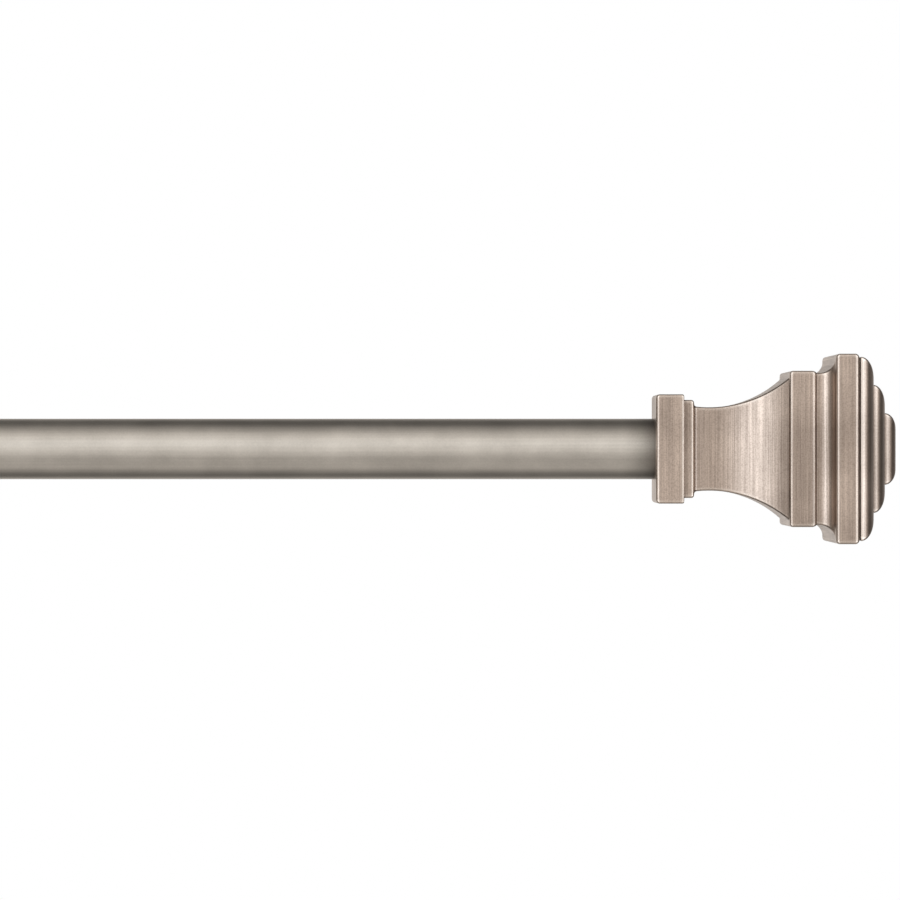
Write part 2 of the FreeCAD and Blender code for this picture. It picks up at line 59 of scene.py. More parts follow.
MM = 0.001
X, Y, Z = Vector((1, 0, 0)), Vector((0, 1, 0)), Vector((0, 0, 1))
SIDES = ("right", "left")
OUTWARDS = {"right": X, "left": -X}
BODY_OF = {
    node: body
    for body, nodes in frame["record"]["behaviour"]["bodies"].items()
    for node in nodes
}


def middle(node):
    low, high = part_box(node)
    return (low + high) / 2


def size_mm(node):
    low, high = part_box(node)
    return (high - low) / MM


ROD_AXIS = middle("outer_tube")
COLLAR_X = {"right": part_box("right_finial")[0].x, "left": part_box("left_finial")[1].x}
BRACKET_X = {side: middle(side + "_wall_plate").x for side in SIDES}
TUBE_RADIUS = size_mm("outer_tube").z / 2


# Settings that a user would change, with lengths in millimetres ---------------------------


def linear(hex_colour):
    """An sRGB hex colour as the linear RGB that shaders and lights take."""
    channels = [int(hex_colour[start : start + 2], 16) / 255 for start in (0, 2, 4)]
    return tuple(c / 12.92 if c <= 0.04045 else ((c + 0.055) / 1.055) ** 2.4 for c in channels)


def colour_setting(name, description, hex_colour):
    return FloatVectorProperty(
        name=name,
        description=description,
        default=linear(hex_colour),
        size=3,
        min=0,
        max=1,
        subtype="COLOR",
    )


def length_setting(name, description, millimetres):
    return FloatProperty(
        name=name,
        description=description,
        default=millimetres,
        min=0,
        precision=3,
        unit="CAMERA",
    )


class FinishSettings(bpy.types.PropertyGroup):
    """Colours and grain of the finishes."""

    pewter: colour_setting("Pewter", "Brushed pewter on the castings' flats", "D1BFB1")
    # Besides the real antiquing and wear, the patina colour also paints shade into the hollows and
    # inner corners, and the burnish colour paints a highlight along the raised edges
    patina_and_shade: colour_setting("Patina", "Dark antiquing wiped into the recesses", "43342B")
    burnish_and_highlight: colour_setting("Burnish", "Bright metal where raised edges are rubbed", "F2E6DA")
    tube: colour_setting("Tube", "Satin pewter plating on the tubes", "D3CDC4")
    zinc: colour_setting("Zinc", "Bright zinc plating on screws and wall plates", "C4C8CC")
    acetal: colour_setting("Acetal", "Black moulded glides and plugs", "1B1B1D")
    nylon: colour_setting("Nylon", "Natural nylon wall plugs", "D8D4C6")
    oxide: colour_setting("Black oxide", "Blackened set screws", "38383B")
    brush_width: length_setting("Brush mark", "Width of one brush mark across the grain", 0.32)
    brush_length: length_setting("Brush stroke", "Length of one brush mark", 28.0)
    # How far the rubbed edges with their painted highlight, and the corner and hollow patina with
    # their painted shade, reach
    wear_and_highlight_reach: length_setting("Edge wear", "How far burnishing spreads from an edge", 1.1)
    corner_patina_and_shade_reach: length_setting("Corner patina", "Width of the dark line in a corner", 0.6)
    patina_and_shade_reach: length_setting("Patina reach", "How far the paler patina spreads", 3.5)


class MouldingSettings(bpy.types.PropertyGroup):
    """Sizes of the square moulded finial. Each half is half the side of its square section."""

    collar_length: length_setting("Collar length", "Along the rod", 7.35)
    collar_half: length_setting("Collar half", "Half the collar's side", 14.2)
    bead_half: length_setting("Bead half", "Half the side of the bead after the collar", 12.75)
    bead_end: length_setting("Bead end", "Where the bead ends", 10.0)
    neck_half: length_setting("Neck half", "Half the side at the narrowest point", 10.85)
    neck_place: length_setting("Neck", "Where the finial is narrowest", 13.9)
    flare_radius: length_setting("Flare radius", "Radius of the hollow flare", 31.1)
    block_start: length_setting("Block start", "Where the flare meets the block", 34.3)
    block_half: length_setting("Block half", "Half the block's side", 20.2)
    block_end: length_setting("Block end", "Where the block ends", 41.3)
    cove_half: length_setting("Cove half", "Half the side at the floor of the cove", 19.65)
    cove_radius: length_setting("Cove radius", "Radius of the cove under the widest plate", 4.0)
    plate_start: length_setting("Plate start", "Inner face of the widest plate", 46.0)
    plate_end: length_setting("Plate end", "Outer face of the widest plate", 52.1)
    plate_half: length_setting("Plate half", "Half the side of the widest plate", 24.54)
    quirk_half: length_setting("Quirk half", "Half the side of the groove after the plate", 23.2)
    edge: length_setting("Edge", "Rounding on sharp steps and in corners", 0.18)
    mitre: length_setting("Mitre", "Rounding along the four corners", 0.55)


class StageSettings(bpy.types.PropertyGroup):
    """Camera and floor."""

    camera_distance: length_setting("Camera distance", "From the rod's axis to the lens", 1300.0)
    camera_inset: length_setting("Camera inset", "From the right collar back to the lens", 53.5)
    camera_drop: length_setting("Camera drop", "From the rod's axis down to the lens", 0.27)
    focal_length: length_setting("Focal length", "Of the lens, on a 36 mm sensor", 198.1)
    floor_drop: length_setting("Floor drop", "From the rod's axis down to the floor", 430.0)
    floor_radius: length_setting("Floor radius", "Radius of the round floor", 3000.0)
    floor: colour_setting("Floor", "Plain pale floor", "F2F1EE")


# Mesh making ------------------------------------------------------------------------------

# Steps in each quarter of a section, for the tubes and for everything smaller
TUBE_STEPS, FINE_STEPS = 24, 12
OVOLO_STEPS, ROUND_STEPS, ROWS_PER_THREAD = 14, 4, 8
SHARP_CORNER = math.radians(24)
# A rounding takes at most this share of a side, or of a section's half width
ROUNDING_SHARE = 0.4


class Outline:
    """Half of a section in millimetres: run is the distance along it, half its half width."""

    def __init__(self, run, half):
        self.points = [Vector((run, half))]

    def line(self, run, half):
        self.points.append(Vector((run, half)))
        return self

    def arc(self, run, half, centre_run, centre_half, step=math.radians(7)):
        """The shorter arc to this point about a centre."""
        centre = Vector((centre_run, centre_half))
        first, last = self.points[-1] - centre, Vector((run, half)) - centre
        turn = math.atan2(first.cross(last), first.dot(last))
        count = max(2, math.ceil(abs(turn) / step))
        for done in range(1, count):
            angle = turn * done / count
            cos, sin = math.cos(angle), math.sin(angle)
            spoke = Vector((first.x * cos - first.y * sin, first.x * sin + first.y * cos))
            self.points.append(centre + spoke)
        return self.line(run, half)

    def ovolo(self, run, half):
        """A quarter of an ellipse that leaves along the run and arrives straight across it."""
        start = self.points[-1].copy()
        for step in range(1, OVOLO_STEPS):
            turn = math.pi / 2 * step / OVOLO_STEPS
            along, across = math.sin(turn), math.cos(turn)
            self.line(start.x + (run - start.x) * along, half + (start.y - half) * across)
        return self.line(run, half)

    def softened(self, radius, closed=False):
        """The points with every sharp corner, raised or hollow, turned into a small round."""
        count = len(self.points)
        result = []
        for index, corner in enumerate(self.points):
            if not closed and index in (0, count - 1):
                result.append(corner)
                continue
            before = self.points[index - 1] - corner
            after = self.points[(index + 1) % count] - corner
            turn = math.pi - before.angle(after)
            if turn < SHARP_CORNER:
                result.append(corner)
                continue
            room = ROUNDING_SHARE * min(before.length, after.length)
            reach = min(radius * math.tan(turn / 2), room)
            start = corner + before.normalized() * reach
            end = corner + after.normalized() * reach
            for done in range(ROUND_STEPS + 1):
                share = done / ROUND_STEPS
                result.append(start.lerp(corner, share).lerp(corner.lerp(end, share), share))
        return result


class Place:
    """Where a piece is drawn: its origin, the direction that it runs in, and two across."""

    def __init__(self, origin, along, across, up=Z):
        self.origin, self.along, self.across, self.up = origin, along, across, up

    def point(self, run, across, up):
        return self.origin + MM * (self.along * run + self.across * across + self.up * up)


def rectangle(half_across, half_up, corner, steps):
    """Points round a rectangle with rounded corners: a circle where corner is the whole half."""
    signs = ((1, 1), (-1, 1), (-1, -1), (1, -1))
    points = []
    for quarter, (right, top) in enumerate(signs):
        for step in range(steps):
            turn = (quarter + (step + 0.5) / steps) * math.pi / 2
            points.append(
                (
                    right * (half_across - corner) + corner * math.cos(turn),
                    top * (half_up - corner) + corner * math.sin(turn),
                )
            )
    return points


def circle(radius, steps=FINE_STEPS):
    return rectangle(radius, radius, radius, steps)


def hexagon(flat_half):
    """As many points as a small circle has, on a regular hexagon."""
    points = []
    for step in range(4 * FINE_STEPS):
        turn = (step + 0.5) * math.pi / 2 / FINE_STEPS
        radius = flat_half / math.cos(turn % (math.pi / 3) - math.pi / 6)
        points.append((radius * math.cos(turn), radius * math.sin(turn)))
    return points


def square_sections(points, mitre, steps=FINE_STEPS, extra=0.0):
    """Sections of a moulding that is square, or taller by extra, with mitred corners."""
    sections = []
    for run, half in points:
        corner = min(mitre, ROUNDING_SHARE * half)
        sections.append((run, rectangle(half, half + extra, corner, steps)))
    return sections


def round_sections(points, steps=FINE_STEPS):
    return [(run, circle(half, steps)) for run, half in points]


def thread_sections(start, end, radius, pitch, depth):
    """Sections of a screw thread: a ridge that climbs one pitch a turn and fades at both ends."""
    rows = math.ceil((end - start) / pitch * ROWS_PER_THREAD)
    sections = []
    for row in range(rows + 1):
        run = start + (end - start) * row / rows
        full = min(1, (run - start) / pitch, (end - run) / pitch)
        points = []
        for x, y in circle(1):
            phase = (run / pitch - math.atan2(y, x) / (2 * math.pi)) % 1
            ridge = full * (1 - abs(2 * phase - 1))
            here = radius - depth * (1 - ridge)
            points.append((x * here, y * here))
        sections.append((run, points))
    return sections


def loft(name, place, sections, closed=False):
    """A mesh through sections of equally many points, capped, or closed on itself like a tube."""
    shape = bmesh.new()
    rings = [
        [shape.verts.new(place.point(run, across, up)) for across, up in points]
        for run, points in sections
    ]
    pairs = list(zip(rings, rings[1:]))
    if closed:
        pairs.append((rings[-1], rings[0]))
    for first, second in pairs:
        for index, corner in enumerate(first):
            following = (index + 1) % len(first)
            shape.faces.new((corner, first[following], second[following], second[index]))
    if not closed:
        shape.faces.new(rings[0])
        shape.faces.new(rings[-1])
    return finished_mesh(name, shape)


def finished_mesh(name, shape):
    bmesh.ops.recalc_face_normals(shape, faces=shape.faces)
    mesh = bpy.data.meshes.new(name)
    shape.to_mesh(mesh)
    shape.free()
    piece = bpy.data.objects.new(name, mesh)
    bpy.context.scene.collection.objects.link(piece)
    return piece


def box_piece(name, low, high):
    """A box between two corners in millimetres."""
    shape = bmesh.new()
    bmesh.ops.create_cube(shape, size=1)
    low, high = Vector(low) * MM, Vector(high) * MM
    for vertex in shape.verts:
        vertex.co = Vector(
            (l + h) / 2 + (h - l) * c for l, h, c in zip(low, high, vertex.co)
        )
    return finished_mesh(name, shape)


def drill(origin, along, across, length, radius):
    """A round bar to cut a hole with."""
    place = Place(origin, along, across, along.cross(across))
    return loft("drill", place, [(0, circle(radius)), (length, circle(radius))])


def take_modifiers(piece):
    """Turns what the modifiers make of a piece into its own mesh."""
    graph = bpy.context.evaluated_depsgraph_get()
    mesh = bpy.data.meshes.new_from_object(piece.evaluated_get(graph))
    piece.modifiers.clear()
    piece.data = mesh


def cut(piece, *cutters):
    for cutter in cutters:
        piece.modifiers.new("cut", "BOOLEAN")
        piece.modifiers[-1].object = cutter
        piece.modifiers[-1].solver = "EXACT"
        take_modifiers(piece)
        bpy.data.objects.remove(cutter)


def join(first, *others):
    """Makes several closed shells one piece."""
    shape = bmesh.new()
    for piece in (first, *others):
        shape.from_mesh(piece.data)
    shape.to_mesh(first.data)
    shape.free()
    for piece in others:
        bpy.data.objects.remove(piece)
    return first


def round_edges(piece, width):
    """Rounds the sharp edges by a width in millimetres."""
    bevel = piece.modifiers.new("edges", "BEVEL")
    bevel.width = width * MM
    bevel.segments = 2
    bevel.limit_method = "ANGLE"
    bevel.angle_limit = math.radians(40)
    bevel.use_clamp_overlap = True
    take_modifiers(piece)


def dress(piece, node, finish):
    """Lets a piece stand for its CAD node, move with it and wear its finish."""
    piece.name = node + "_finish"
    piece.data.name = piece.name
    piece.data.materials.clear()
    piece.data.materials.append(material_for(finish))
    piece.data.shade_smooth()
    piece.data.set_sharp_from_angle(angle=math.radians(38))
    normals = piece.modifiers.new("normals", "WEIGHTED_NORMAL")
    normals.keep_sharp = True
    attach(piece, BODY_OF[node])
    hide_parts(node)
    return piece


# Materials --------------------------------------------------------------------------------


def add_node(tree, kind, inputs=None, **settings):
    """Adds a node with its settings, fills or links its inputs, and returns its outputs."""
    made = tree.nodes.new(kind)
    for name, value in settings.items():
        setattr(made, name, value)
    for socket, value in (inputs or {}).items():
        if isinstance(value, bpy.types.NodeSocket):
            tree.links.new(value, made.inputs[socket])
        else:
            made.inputs[socket].default_value = value
    return made.outputs


# A colour Mix node's sockets share their names with its other types, so they go by index
MIX_FACTOR, MIX_FIRST, MIX_SECOND, MIX_RESULT = 0, 6, 7, 2
WHITE = (1.0, 1.0, 1.0, 1.0)


def rgba(colour, shade=1.0):
    return (*(channel * shade for channel in colour), 1.0)


def empty_material(name):
    """A material without a shader, its node tree, and the place on the piece as a socket."""
    material = bpy.data.materials.new(name)
    material.use_nodes = True
    tree = material.node_tree
    tree.nodes.clear()
    return material, tree, add_node(tree, "ShaderNodeTexCoord")["Object"]


def grain(tree, place, detail, width, length=None, fine_axes="XYZ"):
    """Marks as wide as width side by side along fine_axes, and as long as length elsewhere."""
    scale = [1 / ((width if axis in fine_axes else length) * MM) for axis in "XYZ"]
    marks = add_node(tree, "ShaderNodeMapping", {"Vector": place, "Scale": scale})
    inputs = {"Vector": marks["Vector"], "Scale": 1.0, "Detail": detail}
    return add_node(tree, "ShaderNodeTexNoise", inputs)["Fac"]


def coated(tree, colour, coat, measure, bare, full, most):
    """The colour under a coat that starts where measure is bare and is most where it is full."""
    cover = {"Value": measure, "From Min": bare, "From Max": full, "To Min": 0.0, "To Max": most}
    factor = add_node(tree, "ShaderNodeMapRange", cover)["Result"]
    inputs = {MIX_FACTOR: factor, MIX_FIRST: colour, MIX_SECOND: coat}
    return add_node(tree, "ShaderNodeMix", inputs, data_type="RGBA")[MIX_RESULT]


def finish_surface(tree, inputs, height, strength, depth):
    """Gives the material its shader, with bumps as deep as depth millimetres."""
    bump = {"Height": height, "Strength": strength, "Distance": depth * MM}
    normal = add_node(tree, "ShaderNodeBump", bump)["Normal"]
    shader = add_node(tree, "ShaderNodeBsdfPrincipled", {**inputs, "Normal": normal})
    add_node(tree, "ShaderNodeOutputMaterial", {"Surface": shader["BSDF"]})


OPENNESS_SAMPLES = 6
BRUSH_BAND, BRUSH_BAND_LENGTH, WIPED_PATCH = 2.4, 60.0, 17.0
# Pinholes and plating grit are finer than this, and are drawn coarse enough to show
PINHOLE, PLATING_GRIT = 0.35, 0.45
DIE_LINE_LENGTH, PLATING_CLOUD, NEIGHBOUR_SHADE_REACH, SATIN_SPREAD = 70.0, 9.0, 9.0, 0.012
SPARK_GRAIN, FLOW_MARK, PLASTIC_SPREAD = 0.3, 5.0, 0.06


def brushed_pewter(name, fine_axes, finish):
    """Cast metal plated in pewter, brushed, antiqued and rubbed back.

    The eye sees hair-fine brush marks across the length, umber patina with painted shade in the
    inner corners and hollows, and rubbed metal with a painted highlight along the raised edges.
    """
    material, tree, place = empty_material(name)
    marks = grain(tree, place, 4.0, finish.brush_width, finish.brush_length, fine_axes)
    bands = grain(tree, place, 1.0, BRUSH_BAND, BRUSH_BAND_LENGTH, fine_axes)
    patches = grain(tree, place, 2.0, WIPED_PATCH)
    pinholes = grain(tree, place, 2.0, PINHOLE)
    # How open the surface is: low in hollows, low in inner corners and low at outer edges.
    # These masks paint shade into the hollows and corners and a highlight along the edges.
    hollow, corner, edge = (
        add_node(
            tree,
            "ShaderNodeAmbientOcclusion",
            {"Distance": reach * MM},
            samples=OPENNESS_SAMPLES,
            inside=inside,
            only_local=True,
        )["AO"]
        for reach, inside in (
            (finish.patina_and_shade_reach, False),
            (finish.corner_patina_and_shade_reach, False),
            (finish.wear_and_highlight_reach, True),
        )
    )
    # Each measure is a base with a share of a texture added
    depth, corners, raised, relief = (
        add_node(
            tree, "ShaderNodeMath", {0: texture, 1: share, 2: base}, operation="MULTIPLY_ADD"
        )["Value"]
        for texture, share, base in (
            (bands, 0.3, marks),
            (patches, 0.25, corner),
            (marks, 0.3, edge),
            (pinholes, 0.4, marks),
        )
    )
    # Patina in the brush marks, the wiped patches and the pinholes, patina with painted shade in
    # the hollows and the corners, then the rubbed edges with a painted highlight: each coat's
    # measure where it starts, where it is full, and its most
    colour, patina_and_shade = rgba(finish.pewter), rgba(finish.patina_and_shade)
    for coat, measure, bare, full, most in (
        (patina_and_shade, depth, 0.85, 0.45, 0.42),
        (patina_and_shade, patches, 0.62, 0.38, 0.26),
        (patina_and_shade, pinholes, 0.56, 0.36, 0.24),
        (patina_and_shade, hollow, 0.97, 0.40, 0.75),
        (patina_and_shade, corners, 0.92, 0.55, 0.90),
        (rgba(finish.burnish_and_highlight), raised, 1.06, 0.72, 0.85),
    ):
        colour = coated(tree, colour, coat, measure, bare, full, most)
    rough = {"Value": depth, "From Min": 0.5, "From Max": 0.85, "To Min": 0.34, "To Max": 0.28}
    roughness = add_node(tree, "ShaderNodeMapRange", rough)["Result"]
    inputs = {"Base Color": colour, "Metallic": 1.0, "Roughness": roughness}
    finish_surface(tree, inputs, relief, 0.40, 0.05)
    return material


def spread_roughness(clouds, roughness, spread):
    """Settings of a map from clouds to a roughness that varies by spread either way."""
    low, high = roughness - spread, roughness + spread
    return {"Value": clouds, "From Min": 0.3, "From Max": 0.7, "To Min": low, "To Max": high}


def satin_metal(name, colour, roughness, streak_axes="", streak_width=0.5, contrast=0.12):
    """Drawn or rolled steel with an even plating.

    The eye sees one soft band of light with fine grit in it, faint clouds in the plating and,
    across streak_axes, the lines that the die left.
    """
    material, tree, place = empty_material(name)
    grit = grain(tree, place, 2.0, PLATING_GRIT)
    lines = grain(tree, place, 3.0, streak_width, DIE_LINE_LENGTH, streak_axes)
    clouds = grain(tree, place, 3.0, PLATING_CLOUD)
    streaks, relief = (
        add_node(
            tree, "ShaderNodeMath", {0: texture, 1: share, 2: base}, operation="MULTIPLY_ADD"
        )["Value"]
        for texture, share, base in ((lines, 0.5, clouds), (grit, 0.8, lines))
    )
    shade = add_node(
        tree, "ShaderNodeMath", {0: grit, 1: 0.5, 2: streaks}, operation="MULTIPLY_ADD"
    )["Value"]
    plated = coated(tree, rgba(colour), rgba(colour, 0.35), shade, 1.25, 0.75, contrast)
    # Painted shade and a painted reflection of the neighbouring piece darken the last millimetres
    # before another piece
    near = add_node(
        tree,
        "ShaderNodeAmbientOcclusion",
        {"Distance": NEIGHBOUR_SHADE_REACH * MM},
        samples=OPENNESS_SAMPLES,
        inside=False,
        only_local=False,
    )["AO"]
    neighbour_shaded = coated(tree, plated, rgba(colour, 0.2), near, 0.98, 0.55, 0.8)
    rough = spread_roughness(clouds, roughness, SATIN_SPREAD)
    inputs = {
        "Base Color": neighbour_shaded,
        "Metallic": 1.0,
        "Roughness": add_node(tree, "ShaderNodeMapRange", rough)["Result"],
    }
    finish_surface(tree, inputs, relief, 0.12, 0.03)
    return material


def moulded_plastic(name, colour, roughness, translucence):
    """Injection-moulded plastic.

    The eye sees a soft sheen broken by the spark-eroded grain of the mould, slight flow marks
    and, in natural nylon, a little light coming through.
    """
    material, tree, place = empty_material(name)
    flow = grain(tree, place, 2.0, FLOW_MARK)
    shades = {MIX_FACTOR: flow, MIX_FIRST: rgba(colour, 0.8), MIX_SECOND: rgba(colour, 1.15)}
    rough = spread_roughness(flow, roughness, PLASTIC_SPREAD)
    inputs = {
        "Base Color": add_node(tree, "ShaderNodeMix", shades, data_type="RGBA")[MIX_RESULT],
        "Roughness": add_node(tree, "ShaderNodeMapRange", rough)["Result"],
        "IOR": 1.5,
        "Subsurface Weight": translucence,
        "Subsurface Radius": (0.8 * MM, 0.7 * MM, 0.6 * MM),
    }
    finish_surface(tree, inputs, grain(tree, place, 2.0, SPARK_GRAIN), 0.2, 0.03)
    return material


def material_for(finish_name):
    """The finish of that name, made the first time that a piece asks for it."""
    made = bpy.data.materials.get(finish_name)
    if made:
        return made
    finish = bpy.context.scene.rod_finish
    maker, *settings = {
        "antiqued_pewter_brushed_round": (brushed_pewter, "X", finish),
        "antiqued_pewter_brushed_along": (brushed_pewter, "XZ", finish),
        "satin_pewter_drawn_tube": (satin_metal, finish.tube, 0.33, "YZ", 0.6, 0.28),
        "zinc_plated_rolled_steel": (satin_metal, finish.zinc, 0.27, "XY", 0.4, 0.2),
        "zinc_plated_screw_steel": (satin_metal, finish.zinc, 0.24),
        "black_oxide_steel": (satin_metal, finish.oxide, 0.42),
        "moulded_black_acetal": (moulded_plastic, finish.acetal, 0.45, 0.0),
        "moulded_natural_nylon": (moulded_plastic, finish.nylon, 0.5, 0.15),
    }[finish_name]
    return maker(finish_name, *settings)


# The rod ----------------------------------------------------------------------------------

DEBURR, SMALL_CHAMFER, PLUG_EDGE, BUSH_EDGE, GUIDE_EDGE = 0.15, 0.3, 0.5, 0.3, 0.6
# A metric thread's depth in pitches, and the plain lengths at the ends of studs and screws
THREAD_DEPTH, STUD_LEAD, SCREW_LEAD = 0.6, 0.5, 0.4
OUTER_WALL, INNER_WALL = 0.8, 0.7
RUNNING_CLEARANCE = 0.05
STUD_RADIUS = 3.0
FINIAL_SOCKET_DEPTH = 12.0
STUD_HOLE_DEPTH = 27.0


def along_rod(start_x, along=X):
    return Place(Vector((start_x, ROD_AXIS.y, ROD_AXIS.z)), along, Y)


def from_left_end(node):
    """A place on the rod's axis that runs right from the node's left end."""
    return along_rod(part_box(node)[0].x)


def draw_piece(node, finish, place, sections, closed=False):
    """Lofts and dresses a piece that needs no cutting."""
    dress(loft(node, place, sections, closed), node, finish)


def ring_sections(outline, softening=DEBURR):
    """Sections of a round ring-shaped piece: the outline goes once round its wall."""
    return round_sections(outline.softened(softening, True), TUBE_STEPS)


def wall_outline(start, end, outer, inner):
    return Outline(start, outer).line(end, outer).line(end, inner).line(start, inner)


class ROD_OT_tubes(bpy.types.Operator):
    """Draw the two telescoping tubes"""

    bl_idname = "curtain_rod.tubes"
    bl_label = "Tubes"

    def execute(self, context):
        for node, wall in (("outer_tube", OUTER_WALL), ("inner_tube", INNER_WALL)):
            size = size_mm(node)
            radius = size.z / 2
            sections = ring_sections(wall_outline(0, size.x, radius, radius - wall))
            draw_piece(node, "satin_pewter_drawn_tube", from_left_end(node), sections, True)
        return {"FINISHED"}


class ROD_OT_glides(bpy.types.Operator):
    """Draw the moulded bush in the outer tube's mouth and the guide on the inner tube's end"""

    bl_idname = "curtain_rod.glides"
    bl_label = "Glides"

    spigot_length: length_setting("Spigot", "Length of each glide that is inside its tube", 12.0)

    def execute(self, context):
        bush = size_mm("tube_mouth_bush")
        inner_tube = size_mm("inner_tube").z / 2
        lip = bush.x - self.spigot_length
        radius = bush.z / 2
        bore = inner_tube + RUNNING_CLEARANCE
        outline = Outline(0, radius).line(lip, radius).line(lip, radius - OUTER_WALL)
        outline.line(bush.x, radius - OUTER_WALL).line(bush.x, bore).line(0, bore)
        node = "tube_mouth_bush"
        sections = ring_sections(outline, BUSH_EDGE)
        draw_piece(node, "moulded_black_acetal", from_left_end(node), sections, True)

        guide = size_mm("inner_tube_guide")
        head, stem = guide.z / 2, inner_tube - INNER_WALL
        outline = Outline(0, 0.5 * stem).line(0, stem).line(self.spigot_length, stem)
        outline.line(self.spigot_length, head).line(guide.x, head).line(guide.x, 0.5 * head)
        node = "inner_tube_guide"
        sections = round_sections(outline.softened(GUIDE_EDGE), TUBE_STEPS)
        draw_piece(node, "moulded_black_acetal", from_left_end(node), sections)
        return {"FINISHED"}


class ROD_OT_end_fittings(bpy.types.Operator):
    """Draw the plugs in the tubes' ends and the sleeve that fits the inner tube to its finial"""

    bl_idname = "curtain_rod.end_fittings"
    bl_label = "End fittings"

    def execute(self, context):
        for side in SIDES:
            node = side + "_finial_plug"
            size = size_mm(node)
            outline = wall_outline(0, size.x, size.z / 2, STUD_RADIUS + RUNNING_CLEARANCE)
            sections = ring_sections(outline, PLUG_EDGE)
            draw_piece(node, "moulded_black_acetal", from_left_end(node), sections, True)
        node = "left_adapter_sleeve"
        size = size_mm(node)
        bore = size_mm("inner_tube").z / 2 + RUNNING_CLEARANCE
        sections = ring_sections(wall_outline(0, size.x, size.z / 2, bore), SMALL_CHAMFER)
        draw_piece(node, "satin_pewter_drawn_tube", from_left_end(node), sections, True)
        return {"FINISHED"}


# The three stepped ovolos at the finial's end: where each starts, its half width there, where it
# ends and its half width at the end
OVOLOS = (
    (52.4, 23.75, 56.2, 17.5),
    (56.2, 16.6, 59.7, 10.5),
    (59.7, 9.35, 63.0, 5.0),
)
BEAD_EDGE, NECK_COVE = 0.8, 0.9
COLLAR_BACK_EDGE, COLLAR_EDGE, BLOCK_EDGE = 1.0, 0.5, 0.9
PLATE_BACK_EDGE, PLATE_EDGE = 1.0, 1.2
BLOCK_NOSE_RADIUS, BLOCK_NOSE_RUN = 1.58, 1.2
FLARE_STEP = math.radians(2.5)


def rounded_step(outline, start, end, half, back_edge, edge):
    """A square step of the moulding with both of its edges rounded."""
    outline.line(start, half - back_edge)
    outline.arc(start + back_edge, half, start + back_edge, half - back_edge)
    outline.line(end - edge, half)
    outline.arc(end, half - edge, end - edge, half - edge)


def finial_outline(size):
    """The finial's section, from its collar's inner face to its end."""
    flare_centre = size.neck_half + size.flare_radius

    def flare_half(run):
        rise = math.sqrt(size.flare_radius**2 - (run - size.neck_place) ** 2)
        return flare_centre - rise

    outline = Outline(0, TUBE_RADIUS + RUNNING_CLEARANCE)
    rounded_step(
        outline, 0, size.collar_length, size.collar_half, COLLAR_BACK_EDGE, COLLAR_EDGE
    )
    outline.line(size.collar_length, size.bead_half)
    outline.line(size.bead_end - BEAD_EDGE, size.bead_half)
    outline.arc(
        size.bead_end,
        size.bead_half - BEAD_EDGE,
        size.bead_end - BEAD_EDGE,
        size.bead_half - BEAD_EDGE,
    )
    cove_end = size.bead_end + NECK_COVE
    outline.line(size.bead_end, flare_half(cove_end) + NECK_COVE)
    outline.arc(cove_end, flare_half(cove_end), cove_end, flare_half(cove_end) + NECK_COVE)
    outline.arc(
        size.block_start,
        flare_half(size.block_start),
        size.neck_place,
        flare_centre,
        FLARE_STEP,
    )
    edge = BLOCK_EDGE
    outline.line(size.block_start, size.block_half - edge)
    outline.arc(
        size.block_start + edge, size.block_half, size.block_start + edge, size.block_half - edge
    )
    nose_start = size.block_end - BLOCK_NOSE_RUN
    nose_centre = size.block_half - BLOCK_NOSE_RADIUS
    nose_rise = math.sqrt(BLOCK_NOSE_RADIUS**2 - BLOCK_NOSE_RUN**2)
    outline.line(nose_start, size.block_half)
    outline.arc(size.block_end, nose_centre + nose_rise, nose_start, nose_centre)
    cove_start = size.plate_start - size.cove_radius
    cove_centre = size.cove_half + size.cove_radius
    outline.line(size.block_end, size.cove_half)
    outline.line(cove_start, size.cove_half)
    outline.arc(size.plate_start, cove_centre, cove_start, cove_centre)
    rounded_step(
        outline, size.plate_start, size.plate_end, size.plate_half, PLATE_BACK_EDGE, PLATE_EDGE
    )
    outline.line(size.plate_end, size.quirk_half)
    outline.line(OVOLOS[0][0], size.quirk_half)
    for start, start_half, end, end_half in OVOLOS:
        outline.line(start, start_half)
        outline.ovolo(end, end_half)
    return outline


class ROD_OT_finials(bpy.types.Operator):
    """Draw the square moulded finials at both ends"""

    bl_idname = "curtain_rod.finials"
    bl_label = "Finials"

    def execute(self, context):
        size = context.scene.rod_moulding
        socket = Outline(STUD_HOLE_DEPTH, STUD_RADIUS + RUNNING_CLEARANCE)
        socket.line(FINIAL_SOCKET_DEPTH, STUD_RADIUS + RUNNING_CLEARANCE)
        socket.line(FINIAL_SOCKET_DEPTH, TUBE_RADIUS + RUNNING_CLEARANCE)
        outside = finial_outline(size)
        inside = round_sections(socket.softened(DEBURR))
        lip = outside.points[0]
        mouth = [(SMALL_CHAMFER, circle(lip.y)), (0, circle(lip.y + SMALL_CHAMFER))]
        sections = inside + mouth
        sections += square_sections(outside.softened(size.edge)[1:], size.mitre)
        for side in SIDES:
            place = along_rod(COLLAR_X[side], OUTWARDS[side])
            draw_piece(side + "_finial", "antiqued_pewter_brushed_round", place, sections)
        return {"FINISHED"}


def threaded_rod(length, radius, pitch, lead, both_chamfered):
    """Sections of a threaded rod: lead is the plain length that it keeps at each end."""
    root = radius - THREAD_DEPTH * pitch
    sections = [(0, circle(root - SMALL_CHAMFER)), (SMALL_CHAMFER, circle(root))]
    sections += thread_sections(lead, length - lead, radius, pitch, THREAD_DEPTH * pitch)
    if not both_chamfered:
        return sections + [(length, circle(root))]
    end = (length, circle(root - SMALL_CHAMFER))
    return sections + [(length - SMALL_CHAMFER, circle(root)), end]


